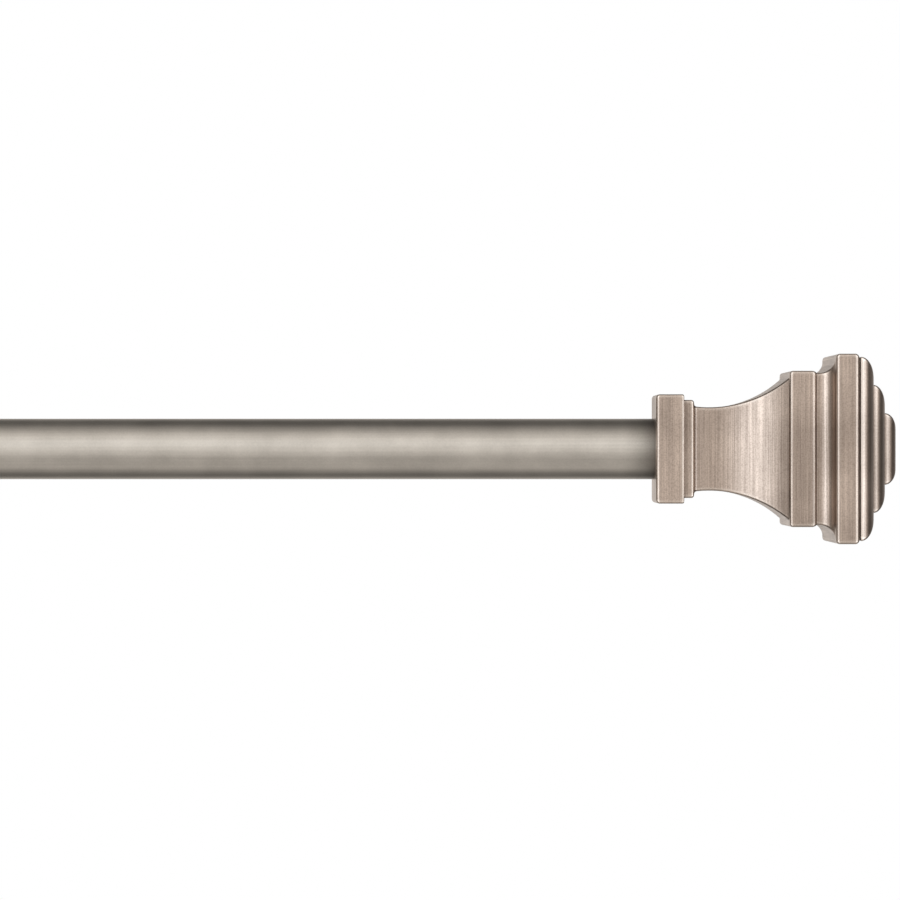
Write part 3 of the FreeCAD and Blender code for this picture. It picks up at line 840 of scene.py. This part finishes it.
class ROD_OT_finial_studs(bpy.types.Operator):
    """Draw the threaded studs that the finials turn on"""

    bl_idname = "curtain_rod.finial_studs"
    bl_label = "Finial studs"

    pitch: length_setting("Pitch", "Of the M6 thread", 1.0)

    def execute(self, context):
        for side in SIDES:
            node = side + "_finial_stud"
            sections = threaded_rod(size_mm(node).x, STUD_RADIUS, self.pitch, STUD_LEAD, True)
            draw_piece(node, "zinc_plated_screw_steel", from_left_end(node), sections)
        return {"FINISHED"}


# The brackets, with distances out from the wall ---------------------------------------------

SCREW_HEIGHTS = (18.0, -18.0)
SCREW_HOLE_RADIUS, PLUG_RELIEF_RADIUS, PLUG_RELIEF_DEPTH = 2.25, 3.4, 0.8
PAD_HALF, PAD_DEPTH, FLANGE_HALF, FLANGE_FACE = 10.0, 2.0, 13.0, 3.6
SLIDE_GAP, LIP_GAP = 0.3, 0.1
HEAD_RECESS_HALF, HEAD_RECESS_DEPTH, HEAD_RECESS_TOP = 6.0, 6.6, 23.5
PLATE_TOP = 28.0
GRUB_DEPTH, GRUB_HEIGHT = 2.8, -20.0
LOCK_RADIUS = 2.0
# Rounding of the arms' and knobs' rims, the bars, their tenons and the stamped plates
RIM_EDGE, BAR_MITRE, BAR_EDGE, BAR_FACE_EDGE = 0.8, 0.6, 0.4, 0.5
TENON_EDGE, STAMPED_EDGE, WEB_FILLET = 0.3, 0.25, 1
EYE_MOUTH, BORE_EDGE = 0.6, 0.4
# Wall screws: the pan head, the plain neck under it, its thread, tip and cross recess
PAN_START, PAN_EDGE, NECK_RELIEF, NECK_LENGTH, WOOD_THREAD_START = 1.2, 1.4, 0.3, 0.5, 0.8
WOOD_THREAD_DEPTH, TIP_LENGTH, TIP_START, TIP_RADIUS, RECESS_DEPTH = 0.65, 4.0, 0.3, 0.3, 1.5
# Wall anchors: the collar, the barbs, the slots that let it spread, and the rounding
ANCHOR_COLLAR, FIRST_RIB, RIB_DEPTH, ANCHOR_TAIL, ANCHOR_END_WALL = 1.5, 4.0, 0.45, 2.0, 0.5
SLOT_START, SLOT_STOP, ANCHOR_EDGE = 6, 3, 0.12


def out_from_wall(side, distance=0.0, height=0.0, along=-Y):
    """A place in front of a bracket's middle, running away from the wall unless told otherwise."""
    origin = Vector((BRACKET_X[side], -distance * MM, height * MM))
    return Place(origin, along, X)


def bracket_box(side, low, high):
    """A box to cut with, between corners given across, out from the wall and up."""
    middle_x = BRACKET_X[side] / MM
    return box_piece(
        "cutter",
        (middle_x + low[0], -high[1], low[2]),
        (middle_x + high[0], -low[1], high[2]),
    )


class ROD_OT_wall_plates(bpy.types.Operator):
    """Draw the stamped plates that are screwed to the wall"""

    bl_idname = "curtain_rod.wall_plates"
    bl_label = "Wall plates"

    def execute(self, context):
        for side in SIDES:
            node = side + "_wall_plate"
            right = (
                (PAD_HALF, 0),
                (PAD_HALF, PAD_DEPTH),
                (FLANGE_HALF, PAD_DEPTH),
                (FLANGE_HALF, FLANGE_FACE),
            )
            corners = [*right, *((-x, out) for x, out in reversed(right))]
            place = Place(out_from_wall(side).origin, Z, X, -Y)
            plate = loft(node, place, [(-PLATE_TOP, corners), (PLATE_TOP, corners)])
            cutters = []
            for height in SCREW_HEIGHTS:
                back = out_from_wall(side, -1, height).origin
                cutters.append(drill(back, -Y, X, 2 + FLANGE_FACE, SCREW_HOLE_RADIUS))
                cutters.append(drill(back, -Y, X, 1 + PLUG_RELIEF_DEPTH, PLUG_RELIEF_RADIUS))
            cut(plate, *cutters)
            round_edges(plate, STAMPED_EDGE)
            dress(plate, node, "zinc_plated_rolled_steel")
        return {"FINISHED"}


class ROD_OT_wall_screws(bpy.types.Operator):
    """Draw the pan-head screws that hold the wall plates"""

    bl_idname = "curtain_rod.wall_screws"
    bl_label = "Wall screws"

    head_radius: length_setting("Head radius", "Of the pan head", 4.0)
    head_height: length_setting("Head height", "Of the pan head", 2.5)
    pitch: length_setting("Pitch", "Of the wood-screw thread", 1.8)
    drive_width: length_setting("Drive width", "Of each slot of the cross recess", 1.2)
    drive_length: length_setting("Drive length", "Of each slot of the cross recess", 4.4)

    def execute(self, context):
        for side in SIDES:
            node = side + "_wall_screws"
            low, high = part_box(node)
            length = (high.y - low.y) / MM
            shells = [self.screw(side, height, -low.y, length) for height in SCREW_HEIGHTS]
            dress(join(*shells), node, "zinc_plated_screw_steel")
        return {"FINISHED"}

    def screw(self, side, height, head_top, length):
        place = out_from_wall(side, head_top / MM, height, Y)
        shank, tip = self.head_height, length - TIP_LENGTH
        neck, root = LOCK_RADIUS - NECK_RELIEF, LOCK_RADIUS - WOOD_THREAD_DEPTH
        rim = self.head_radius - PAN_EDGE
        head = Outline(0, PAN_START).line(0, rim).arc(PAN_EDGE, self.head_radius, PAN_EDGE, rim)
        head.line(shank, self.head_radius).line(shank, neck).line(shank + NECK_LENGTH, neck)
        thread_start = shank + WOOD_THREAD_START
        sections = round_sections(head.softened(DEBURR))
        sections += thread_sections(
            thread_start, tip, LOCK_RADIUS, self.pitch, WOOD_THREAD_DEPTH
        )
        sections += [(tip + TIP_START, circle(root)), (length, circle(TIP_RADIUS))]
        screw = loft("wall_screw", place, sections)
        wide, long = self.drive_width / 2, self.drive_length / 2
        near, far = head_top / MM - RECESS_DEPTH, head_top / MM + 1
        cut(
            screw,
            bracket_box(side, (-wide, near, height - long), (wide, far, height + long)),
            bracket_box(side, (-long, near, height - wide), (long, far, height + wide)),
        )
        return screw


class ROD_OT_wall_anchors(bpy.types.Operator):
    """Draw the ribbed plugs that the wall screws spread"""

    bl_idname = "curtain_rod.wall_anchors"
    bl_label = "Wall anchors"

    rib_spacing: length_setting("Rib spacing", "From one barb to the next", 2.5)
    slot_width: length_setting("Slot", "Width of the slots that let it spread", 0.8)

    def execute(self, context):
        for side in SIDES:
            node = side + "_wall_anchors"
            size = size_mm(node)
            radius = (size.z - SCREW_HEIGHTS[0] + SCREW_HEIGHTS[1]) / 2
            shells = [self.anchor(side, height, radius, size.y) for height in SCREW_HEIGHTS]
            dress(join(*shells), node, "moulded_natural_nylon")
        return {"FINISHED"}

    def anchor(self, side, height, radius, length):
        bore = LOCK_RADIUS + RUNNING_CLEARANCE
        outline = Outline(0, bore).line(0, radius).line(ANCHOR_COLLAR, radius)
        run, groove = FIRST_RIB, radius - RIB_DEPTH
        while run + self.rib_spacing < length - ANCHOR_TAIL:
            outline.line(run, groove).line(run + self.rib_spacing, radius)
            run += self.rib_spacing
        outline.line(run, groove).line(length, bore + ANCHOR_END_WALL).line(length, bore)
        place = out_from_wall(side, 0, height, Y)
        anchor = loft("wall_anchor", place, ring_sections(outline, ANCHOR_EDGE), True)
        half, reach = self.slot_width / 2, radius + 1
        near, far = (-half, SLOT_STOP - length, height - reach), (half, -SLOT_START, height + reach)
        cut(anchor, bracket_box(side, near, far))
        return anchor


class ROD_OT_escutcheons(bpy.types.Operator):
    """Draw the moulded covers that hook over the wall plates and carry the arms"""

    bl_idname = "curtain_rod.escutcheons"
    bl_label = "Escutcheons"

    lip_depth: length_setting("Lip depth", "Of the widest step, on the wall", 5.0)
    lip_edge: length_setting("Lip edge", "Rounding of the widest step", 0.8)
    quirk: length_setting("Quirk", "How far the ovolo stands in from the lip", 2.2)
    ovolo_end: length_setting("Ovolo end", "Where the ovolo ends, out from the wall", 8.6)
    ovolo_drop: length_setting("Ovolo drop", "How much the ovolo narrows", 3.4)
    cove_inset: length_setting("Cove inset", "How far the cove stands in from the lip", 6.8)
    cove_radius: length_setting("Cove radius", "Of the cove up to the arm", 3.4)

    def outline(self, half, depth):
        edge = self.lip_edge
        outline = Outline(0, half).line(self.lip_depth - edge, half)
        outline.arc(self.lip_depth, half - edge, self.lip_depth - edge, half - edge)
        outline.line(self.lip_depth, half - self.quirk)
        outline.ovolo(self.ovolo_end, half - self.quirk - self.ovolo_drop)
        cove_half = half - self.cove_inset
        outline.line(self.ovolo_end, cove_half)
        outline.line(depth - self.cove_radius, cove_half)
        outline.arc(depth, cove_half - self.cove_radius, depth, cove_half)
        return outline

    def execute(self, context):
        size = context.scene.rod_moulding
        for side in SIDES:
            node = side + "_escutcheon"
            whole = size_mm(node)
            half, extra = whole.x / 2, (whole.z - whole.x) / 2
            points = self.outline(half, whole.y).softened(size.edge)
            sections = square_sections(points, size.mitre, extra=extra)
            cover = loft(node, out_from_wall(side), sections)
            below, grub = -whole.z, size_mm(side + "_escutcheon_grub_screw").z / 2
            neck, pocket, recess = PAD_HALF + SLIDE_GAP, FLANGE_HALF + SLIDE_GAP, HEAD_RECESS_HALF
            slide_face = FLANGE_FACE + SLIDE_GAP
            grub_start = out_from_wall(side, GRUB_DEPTH, GRUB_HEIGHT).origin + FLANGE_HALF * MM * X
            hollows = (
                ((-neck, -1, below), (neck, PAD_DEPTH, PLATE_TOP)),
                ((-pocket, PAD_DEPTH - LIP_GAP, below), (pocket, slide_face, PLATE_TOP)),
                ((-recess, FLANGE_FACE, below), (recess, HEAD_RECESS_DEPTH, HEAD_RECESS_TOP)),
            )
            cutters = [bracket_box(side, low, high) for low, high in hollows]
            cut(cover, *cutters, drill(grub_start, X, Y, half, grub + RUNNING_CLEARANCE))
            dress(cover, node, "antiqued_pewter_brushed_round")
        return {"FINISHED"}


M4_PITCH, M4_THREAD_DEPTH, SET_PITCH, SET_POINT_CONE = 0.7, 0.4, 0.5, 0.8
SET_SOCKET_DEPTH, SET_FACE_EDGE, ARM_SOCKET_DEPTH, ARM_HEAD_EDGE = 1.5, 0.25, 1.4, 0.1
# A socket's floor and mouth as shares of its width, and where its walls stop in its depth
SOCKET_FLOOR, SOCKET_MOUTH, SOCKET_WALL = 0.3, 0.62, 0.8


class ROD_OT_small_screws(bpy.types.Operator):
    """Draw the escutcheons' set screws and the screws that hold the arms"""

    bl_idname = "curtain_rod.small_screws"
    bl_label = "Small screws"

    set_socket: length_setting("Set screw socket", "Across the flats of the hex socket", 1.5)
    arm_socket: length_setting("Arm screw socket", "Across the flats of the hex socket", 2.5)

    def socket(self, across_flats, depth, face_radius):
        """Sections of a hex socket, from its floor to the edge of the face that it is in."""
        hex_wall = hexagon(across_flats / 2)
        return [
            (depth, circle(SOCKET_FLOOR * across_flats)),
            (depth * SOCKET_WALL, hex_wall),
            (DEBURR, hex_wall),
            (0, circle(SOCKET_MOUTH * across_flats)),
            (0, circle(face_radius)),
        ]

    def execute(self, context):
        for side in SIDES:
            node = side + "_escutcheon_grub_screw"
            low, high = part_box(node)
            centre, size = (low + high) / 2, size_mm(node)
            radius, chamfer = size.z / 2, SMALL_CHAMFER
            sections = self.socket(self.set_socket, SET_SOCKET_DEPTH, radius - SET_FACE_EDGE)
            sections.append((SET_FACE_EDGE, circle(radius - chamfer)))
            sections += thread_sections(chamfer, size.x - SCREW_LEAD, radius, SET_PITCH, chamfer)
            sections.append((size.x - chamfer, circle(radius - chamfer)))
            sections.append((size.x, circle(radius - SET_POINT_CONE)))
            place = Place(Vector((high.x, centre.y, centre.z)), -X, Y)
            draw_piece(node, "black_oxide_steel", place, sections)

            node = side + "_arm_screw"
            low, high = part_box(node)
            size = size_mm(node)
            head = size.z / 2
            neck = head - LOCK_RADIUS
            sections = self.socket(self.arm_socket, ARM_SOCKET_DEPTH, head - ARM_HEAD_EDGE)
            sections.append((neck, circle(LOCK_RADIUS)))
            start, end = neck + NECK_LENGTH, size.y - SCREW_LEAD
            sections += thread_sections(start, end, LOCK_RADIUS, M4_PITCH, M4_THREAD_DEPTH)
            sections.append((size.y, circle(LOCK_RADIUS - M4_PITCH)))
            place = out_from_wall(side, -high.y / MM)
            draw_piece(node, "zinc_plated_screw_steel", place, sections)
        return {"FINISHED"}


class ROD_OT_arms(bpy.types.Operator):
    """Draw the hollow square arms, with the thicker rim at their open ends"""

    bl_idname = "curtain_rod.arms"
    bl_label = "Arms"

    half: length_setting("Half", "Half the arm's side", 7.0)
    bore_half: length_setting("Bore half", "Half the side of the hollow", 5.2)
    bead_half: length_setting("Bead half", "Half the side of the bead behind the rim", 8.0)
    bead_length: length_setting("Bead length", "Length of the bead", 2.0)
    rim_length: length_setting("Rim length", "Length of the thicker rim", 8.0)
    web_end: length_setting("Web end", "Where the hollow stops, out from the wall", 19.0)
    screw_end: length_setting("Screw hole", "Where the arm screw's hole stops", 18.05)

    def execute(self, context):
        edge = context.scene.rod_moulding.edge
        for side in SIDES:
            node = side + "_arm"
            low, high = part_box(node)
            rim_half = (high.x - low.x) / MM / 2
            start, end = -high.y / MM, -low.y / MM
            rim_start = end - self.rim_length
            bead_start = rim_start - self.bead_length
            hole = LOCK_RADIUS + RUNNING_CLEARANCE
            sections = [(self.screw_end, circle(hole)), (start, circle(hole))]
            outline = Outline(start, self.half - SMALL_CHAMFER).line(start, self.half)
            outline.line(bead_start, self.half)
            for step in ((bead_start, rim_start, self.bead_half), (rim_start, end, rim_half)):
                rounded_step(outline, *step, RIM_EDGE, RIM_EDGE)
            outline.line(end, self.bore_half).line(self.web_end, self.bore_half)
            outline.line(self.web_end, self.bore_half - WEB_FILLET)
            sections += square_sections(outline.softened(edge), RIM_EDGE)
            arm = loft(node, out_from_wall(side), sections)
            lock_y = -middle(side + "_bar_lock_shank").y / MM
            bottom = out_from_wall(side, lock_y).origin
            cut(arm, drill(bottom, -Z, X, 2 * rim_half, hole))
            dress(arm, node, "antiqued_pewter_brushed_along")
        return {"FINISHED"}


class ROD_OT_projection_bars(bpy.types.Operator):
    """Draw the square bars that slide in the arms"""

    bl_idname = "curtain_rod.projection_bars"
    bl_label = "Projection bars"

    tenon_length: length_setting("Tenon", "Length of the round tenon in the eye", 4.2)

    def execute(self, context):
        for side in SIDES:
            node = side + "_projection_bar"
            low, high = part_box(node)
            size = size_mm(node)
            half, shoulder = size.x / 2, size.y - self.tenon_length
            radius = STUD_RADIUS - RUNNING_CLEARANCE
            body = Outline(0, half - BAR_FACE_EDGE).line(0, half).line(shoulder, half)
            body.line(shoulder, STUD_RADIUS + BAR_FACE_EDGE)
            tenon = Outline(shoulder, radius).line(size.y, radius).line(size.y, STUD_RADIUS / 2)
            sections = square_sections(body.softened(BAR_EDGE), BAR_MITRE)
            sections += round_sections(tenon.softened(TENON_EDGE))
            place = out_from_wall(side, -high.y / MM)
            draw_piece(node, "antiqued_pewter_brushed_along", place, sections)
        return {"FINISHED"}


class ROD_OT_rod_eyes(bpy.types.Operator):
    """Draw the closed square eyes that carry the rod"""

    bl_idname = "curtain_rod.rod_eyes"
    bl_label = "Rod eyes"

    bore_radius: length_setting("Bore radius", "Of the hole that the rod passes", 8.15)
    edge: length_setting("Edge", "Rounding of the eye's outer edges", 0.8)
    tenon_depth: length_setting("Tenon hole", "Depth of the hole for the bar's tenon", 4.2)

    def execute(self, context):
        for side in SIDES:
            node = side + "_rod_eye"
            low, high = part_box(node)
            size = size_mm(node)
            half = size.z / 2
            outside = Outline(0, half - self.edge)
            outside.arc(self.edge, half, self.edge, half - self.edge)
            outside.line(size.x - self.edge, half)
            outside.arc(size.x, half - self.edge, size.x - self.edge, half - self.edge)
            mouth = self.bore_radius + EYE_MOUTH
            bore = Outline(size.x, mouth).line(size.x, self.bore_radius)
            bore.line(0, self.bore_radius).line(0, mouth)
            sections = square_sections(outside.points, self.edge, TUBE_STEPS)
            sections += round_sections(bore.softened(BORE_EDGE), TUBE_STEPS)
            eye = loft(node, from_left_end(node), sections, True)
            centre = Vector((BRACKET_X[side], ROD_AXIS.y, ROD_AXIS.z))
            back = Vector((centre.x, high.y + MM, centre.z))
            cut(
                eye,
                drill(centre, -Z, X, 2 * half, LOCK_RADIUS + RUNNING_CLEARANCE),
                drill(back, -Y, X, self.tenon_depth + 1, STUD_RADIUS),
            )
            dress(eye, node, "antiqued_pewter_brushed_round")
        return {"FINISHED"}


# Knobs: the flat ring and the dish in their outer face, and where the flutes fade out
FACE_STEP, DISH_STEP, DISH_DEPTH, KNOB_EDGE = 2.2, 2.8, 0.4, 0.2
FLUTE_FADE, FLUTE_SHARPNESS = 1.2, 1.5


class ROD_OT_thumb_screws(bpy.types.Operator):
    """Draw the threaded shanks and fluted knobs that lock the rod and the bars"""

    bl_idname = "curtain_rod.thumb_screws"
    bl_label = "Thumb screws"

    pitch: length_setting("Pitch", "Of the M4 thread", 0.7)
    grip: length_setting("Grip", "How deep the shank sits in its knob", 6.5)
    flutes: IntProperty(name="Flutes", description="Grooves round each knob", default=18, min=6)
    flute_depth: length_setting("Flute depth", "Of each groove", 0.5)

    def execute(self, context):
        for side in SIDES:
            for lock in ("_rod_lock", "_bar_lock"):
                self.shank(side + lock + "_shank")
                self.knob(side + lock + "_knob")
        return {"FINISHED"}

    def shank(self, node):
        low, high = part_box(node)
        length = (high.z - low.z) / MM
        sections = threaded_rod(length, LOCK_RADIUS, self.pitch, SCREW_LEAD, False)
        draw_piece(node, "zinc_plated_screw_steel", self.hanging_from_top(node), sections)

    def hanging_from_top(self, node):
        low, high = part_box(node)
        return Place(Vector(((low.x + high.x) / 2, (low.y + high.y) / 2, high.z)), -Z, X, Y)

    def knob(self, node):
        size = size_mm(node)
        radius, bore = max(size.x, size.y) / 2, LOCK_RADIUS + RUNNING_CLEARANCE
        steps = 2 * self.flutes
        outline = Outline(0, bore + BORE_EDGE)
        rounded_step(outline, 0, size.z, radius, RIM_EDGE, RIM_EDGE)
        outline.line(size.z, radius - FACE_STEP).line(size.z - DISH_DEPTH, radius - DISH_STEP)
        sections = [(self.grip, circle(bore, steps)), (SMALL_CHAMFER, circle(bore, steps))]
        for run, half in outline.softened(KNOB_EDGE):
            rim = max(0, half - radius + FLUTE_FADE) / FLUTE_FADE
            sections.append((run, self.fluted(half, rim, steps)))
        place = self.hanging_from_top(node)
        draw_piece(node, "antiqued_pewter_brushed_along", place, sections)

    def fluted(self, radius, rim, steps):
        """A circle whose edge dips at every flute, most at the rim."""
        points = []
        for x, y in circle(1, steps):
            wave = math.cos(self.flutes * math.atan2(y, x))
            groove = self.flute_depth * rim * max(0.0, wave) ** FLUTE_SHARPNESS
            points.append((x * (radius - groove), y * (radius - groove)))
        return points


# The stage --------------------------------------------------------------------------------

# Brightness of the studio round the rod, by degrees up from straight ahead of the rod's front:
# bright above the camera, darker overhead and behind, level below
STUDIO_ROUND_ROD = (
    (-180, 0.90),
    (-160, 0.78),
    (-140, 0.36),
    (-120, 0.14),
    (-98, 0.30),
    (-80, 0.58),
    (-32, 0.54),
    (-12, 0.80),
    (20, 1.10),
    (46, 0.86),
    (66, 0.56),
    (90, 0.28),
    (108, 0.12),
    (130, 0.12),
    (145, 0.32),
    (160, 0.64),
    (180, 0.90),
)
# The same round a plumb line, by degrees to the right of straight ahead: a soft light to each
# side, and dark past both of them
STUDIO_ROUND_PLUMB = (
    (-180, 1.00),
    (-150, 0.90),
    (-126, 0.45),
    (-100, 0.30),
    (-85, 0.35),
    (-80, 0.60),
    (-73, 0.85),
    (-62, 1.50),
    (-40, 3.00),
    (-20, 1.30),
    (0, 0.87),
    (8, 0.95),
    (20, 1.20),
    (40, 2.60),
    (53, 2.90),
    (62, 1.90),
    (75, 0.85),
    (90, 0.50),
    (100, 0.18),
    (126, 0.16),
    (150, 0.50),
    (180, 1.00),
)

# The soft lights are neutral, and the room between them is a little warm
ROOM_TINT, LAMP_TINT = (1.0, 0.955, 0.91), (0.98, 1.04, 1.10)
ROOM_BRIGHTNESS, LAMP_BRIGHTNESS = 0.9, 1.8
# Paper-like mottling of the floor, some centimetres across
FLOOR_THICKNESS, FLOOR_MOTTLE = 10, 60.0
SENSOR_WIDTH = 36.0


def brightness_round(tree, rise, ahead, stops):
    """The brightness that the stops give for the angle of rise over ahead."""
    angle = add_node(tree, "ShaderNodeMath", {0: rise, 1: ahead}, operation="ARCTAN2")["Value"]
    turn = {"Value": angle, "From Min": -math.pi, "From Max": math.pi}
    turned = add_node(tree, "ShaderNodeMapRange", turn)["Result"]
    brightness = add_node(tree, "ShaderNodeValToRGB", {"Fac": turned})["Color"]
    elements = brightness.node.color_ramp.elements
    while len(elements) < len(stops):
        elements.new(0.5)
    for element, (degrees, level) in zip(elements, stops):
        element.position = (degrees + 180) / 360
        element.color = rgba((level,) * 3)
    return brightness


def build_studio(scene):
    """White behind everything, and a soft studio round the object that only it reflects."""
    scene.world = bpy.data.worlds.new("soft_studio")
    scene.world.use_nodes = True
    tree = scene.world.node_tree
    tree.nodes.clear()
    direction = add_node(tree, "ShaderNodeTexCoord")["Generated"]
    parts = add_node(tree, "ShaderNodeSeparateXYZ", {"Vector": direction})
    # The camera looks along +Y, so ahead of the rod's front is -Y. The side lights fade towards
    # the zenith and the floor, as steepness grows.
    ahead, steepness = (
        add_node(tree, "ShaderNodeMath", {0: value, 1: factor}, operation="MULTIPLY")["Value"]
        for value, factor in ((parts["Y"], -1.0), (parts["Z"], parts["Z"]))
    )
    round_rod = brightness_round(tree, parts["Z"], ahead, STUDIO_ROUND_ROD)
    round_plumb = brightness_round(tree, parts["X"], ahead, STUDIO_ROUND_PLUMB)
    fade = {MIX_FACTOR: steepness, MIX_FIRST: round_plumb, MIX_SECOND: WHITE}
    sides = add_node(tree, "ShaderNodeMix", fade, data_type="RGBA")[MIX_RESULT]
    light = add_node(tree, "ShaderNodeVectorMath", {0: round_rod, 1: sides}, operation="MULTIPLY")
    level = add_node(tree, "ShaderNodeRGBToBW", {"Color": light["Vector"]})["Val"]
    tint = coated(
        tree, rgba(ROOM_TINT), rgba(LAMP_TINT), level, ROOM_BRIGHTNESS, LAMP_BRIGHTNESS, 1.0
    )
    tinted = add_node(
        tree, "ShaderNodeVectorMath", {0: light["Vector"], 1: tint}, operation="MULTIPLY"
    )["Vector"]
    # Only reflections see the studio: the view and the floor's own light come from plain white
    ray = add_node(tree, "ShaderNodeLightPath")
    plain = {0: ray["Is Camera Ray"], 1: ray["Is Diffuse Ray"]}
    seen = {
        MIX_FACTOR: add_node(tree, "ShaderNodeMath", plain, operation="MAXIMUM")["Value"],
        MIX_FIRST: tinted,
        MIX_SECOND: WHITE,
    }
    shown = add_node(tree, "ShaderNodeMix", seen, data_type="RGBA")[MIX_RESULT]
    background = add_node(tree, "ShaderNodeBackground", {"Color": shown, "Strength": 1.0})
    add_node(tree, "ShaderNodeOutputWorld", {"Surface": background["Background"]})


class ROD_OT_stage(bpy.types.Operator):
    """Set the floor, the soft studio light and the camera"""

    bl_idname = "curtain_rod.stage"
    bl_label = "Stage"

    def execute(self, context):
        scene = context.scene
        stage = scene.rod_stage
        scene.view_settings.view_transform = "Standard"
        build_studio(scene)

        floor_place = Place(ROD_AXIS - Z * stage.floor_drop * MM, -Z, X, Y)
        rim = circle(stage.floor_radius, TUBE_STEPS)
        floor = loft("floor", floor_place, [(0, rim), (FLOOR_THICKNESS, rim)])
        material, tree, place = empty_material("plain_pale_floor")
        mottle = grain(tree, place, 2.0, FLOOR_MOTTLE)
        shades = {
            MIX_FACTOR: mottle,
            MIX_FIRST: rgba(stage.floor, 0.97),
            MIX_SECOND: rgba(stage.floor),
        }
        colour = add_node(tree, "ShaderNodeMix", shades, data_type="RGBA")[MIX_RESULT]
        finish_surface(tree, {"Base Color": colour, "Roughness": 0.8}, mottle, 0.02, 1.0)
        floor.data.materials.append(material)
        floor.visible_glossy = False

        lens = bpy.data.cameras.new("camera")
        lens.sensor_width = SENSOR_WIDTH
        lens.lens = stage.focal_length
        camera = bpy.data.objects.new("camera", lens)
        camera.location = (
            COLLAR_X["right"] - stage.camera_inset * MM,
            ROD_AXIS.y - stage.camera_distance * MM,
            ROD_AXIS.z - stage.camera_drop * MM,
        )
        camera.rotation_euler = (math.pi / 2, 0, 0)
        scene.collection.objects.link(camera)
        scene.camera = camera
        return {"FINISHED"}


# The add-on -------------------------------------------------------------------------------

OPERATORS = (
    ROD_OT_stage,
    ROD_OT_tubes,
    ROD_OT_glides,
    ROD_OT_end_fittings,
    ROD_OT_finials,
    ROD_OT_finial_studs,
    ROD_OT_wall_plates,
    ROD_OT_wall_screws,
    ROD_OT_wall_anchors,
    ROD_OT_escutcheons,
    ROD_OT_small_screws,
    ROD_OT_arms,
    ROD_OT_projection_bars,
    ROD_OT_rod_eyes,
    ROD_OT_thumb_screws,
)


class ROD_PT_panel(bpy.types.Panel):
    """Lists the pieces of the rod and its settings"""

    bl_idname = "ROD_PT_panel"
    bl_label = "Curtain Rod"
    bl_space_type = "VIEW_3D"
    bl_region_type = "UI"
    bl_category = "Curtain Rod"

    def draw(self, context):
        for operator in OPERATORS:
            self.layout.operator(operator.bl_idname)
        for settings in (
            context.scene.rod_finish,
            context.scene.rod_moulding,
            context.scene.rod_stage,
        ):
            box = self.layout.box()
            for name in type(settings).__annotations__:
                box.prop(settings, name)


CLASSES = (FinishSettings, MouldingSettings, StageSettings, *OPERATORS, ROD_PT_panel)


def register():
    for each in CLASSES:
        bpy.utils.register_class(each)
    bpy.types.Scene.rod_finish = PointerProperty(type=FinishSettings)
    bpy.types.Scene.rod_moulding = PointerProperty(type=MouldingSettings)
    bpy.types.Scene.rod_stage = PointerProperty(type=StageSettings)


def unregister():
    del bpy.types.Scene.rod_stage
    del bpy.types.Scene.rod_moulding
    del bpy.types.Scene.rod_finish
    for each in reversed(CLASSES):
        bpy.utils.unregister_class(each)


def main():
    register()
    for operator in OPERATORS:
        name = operator.bl_idname.split(".")[1]
        getattr(bpy.ops.curtain_rod, name)()


if __name__ == "__main__":
    main()
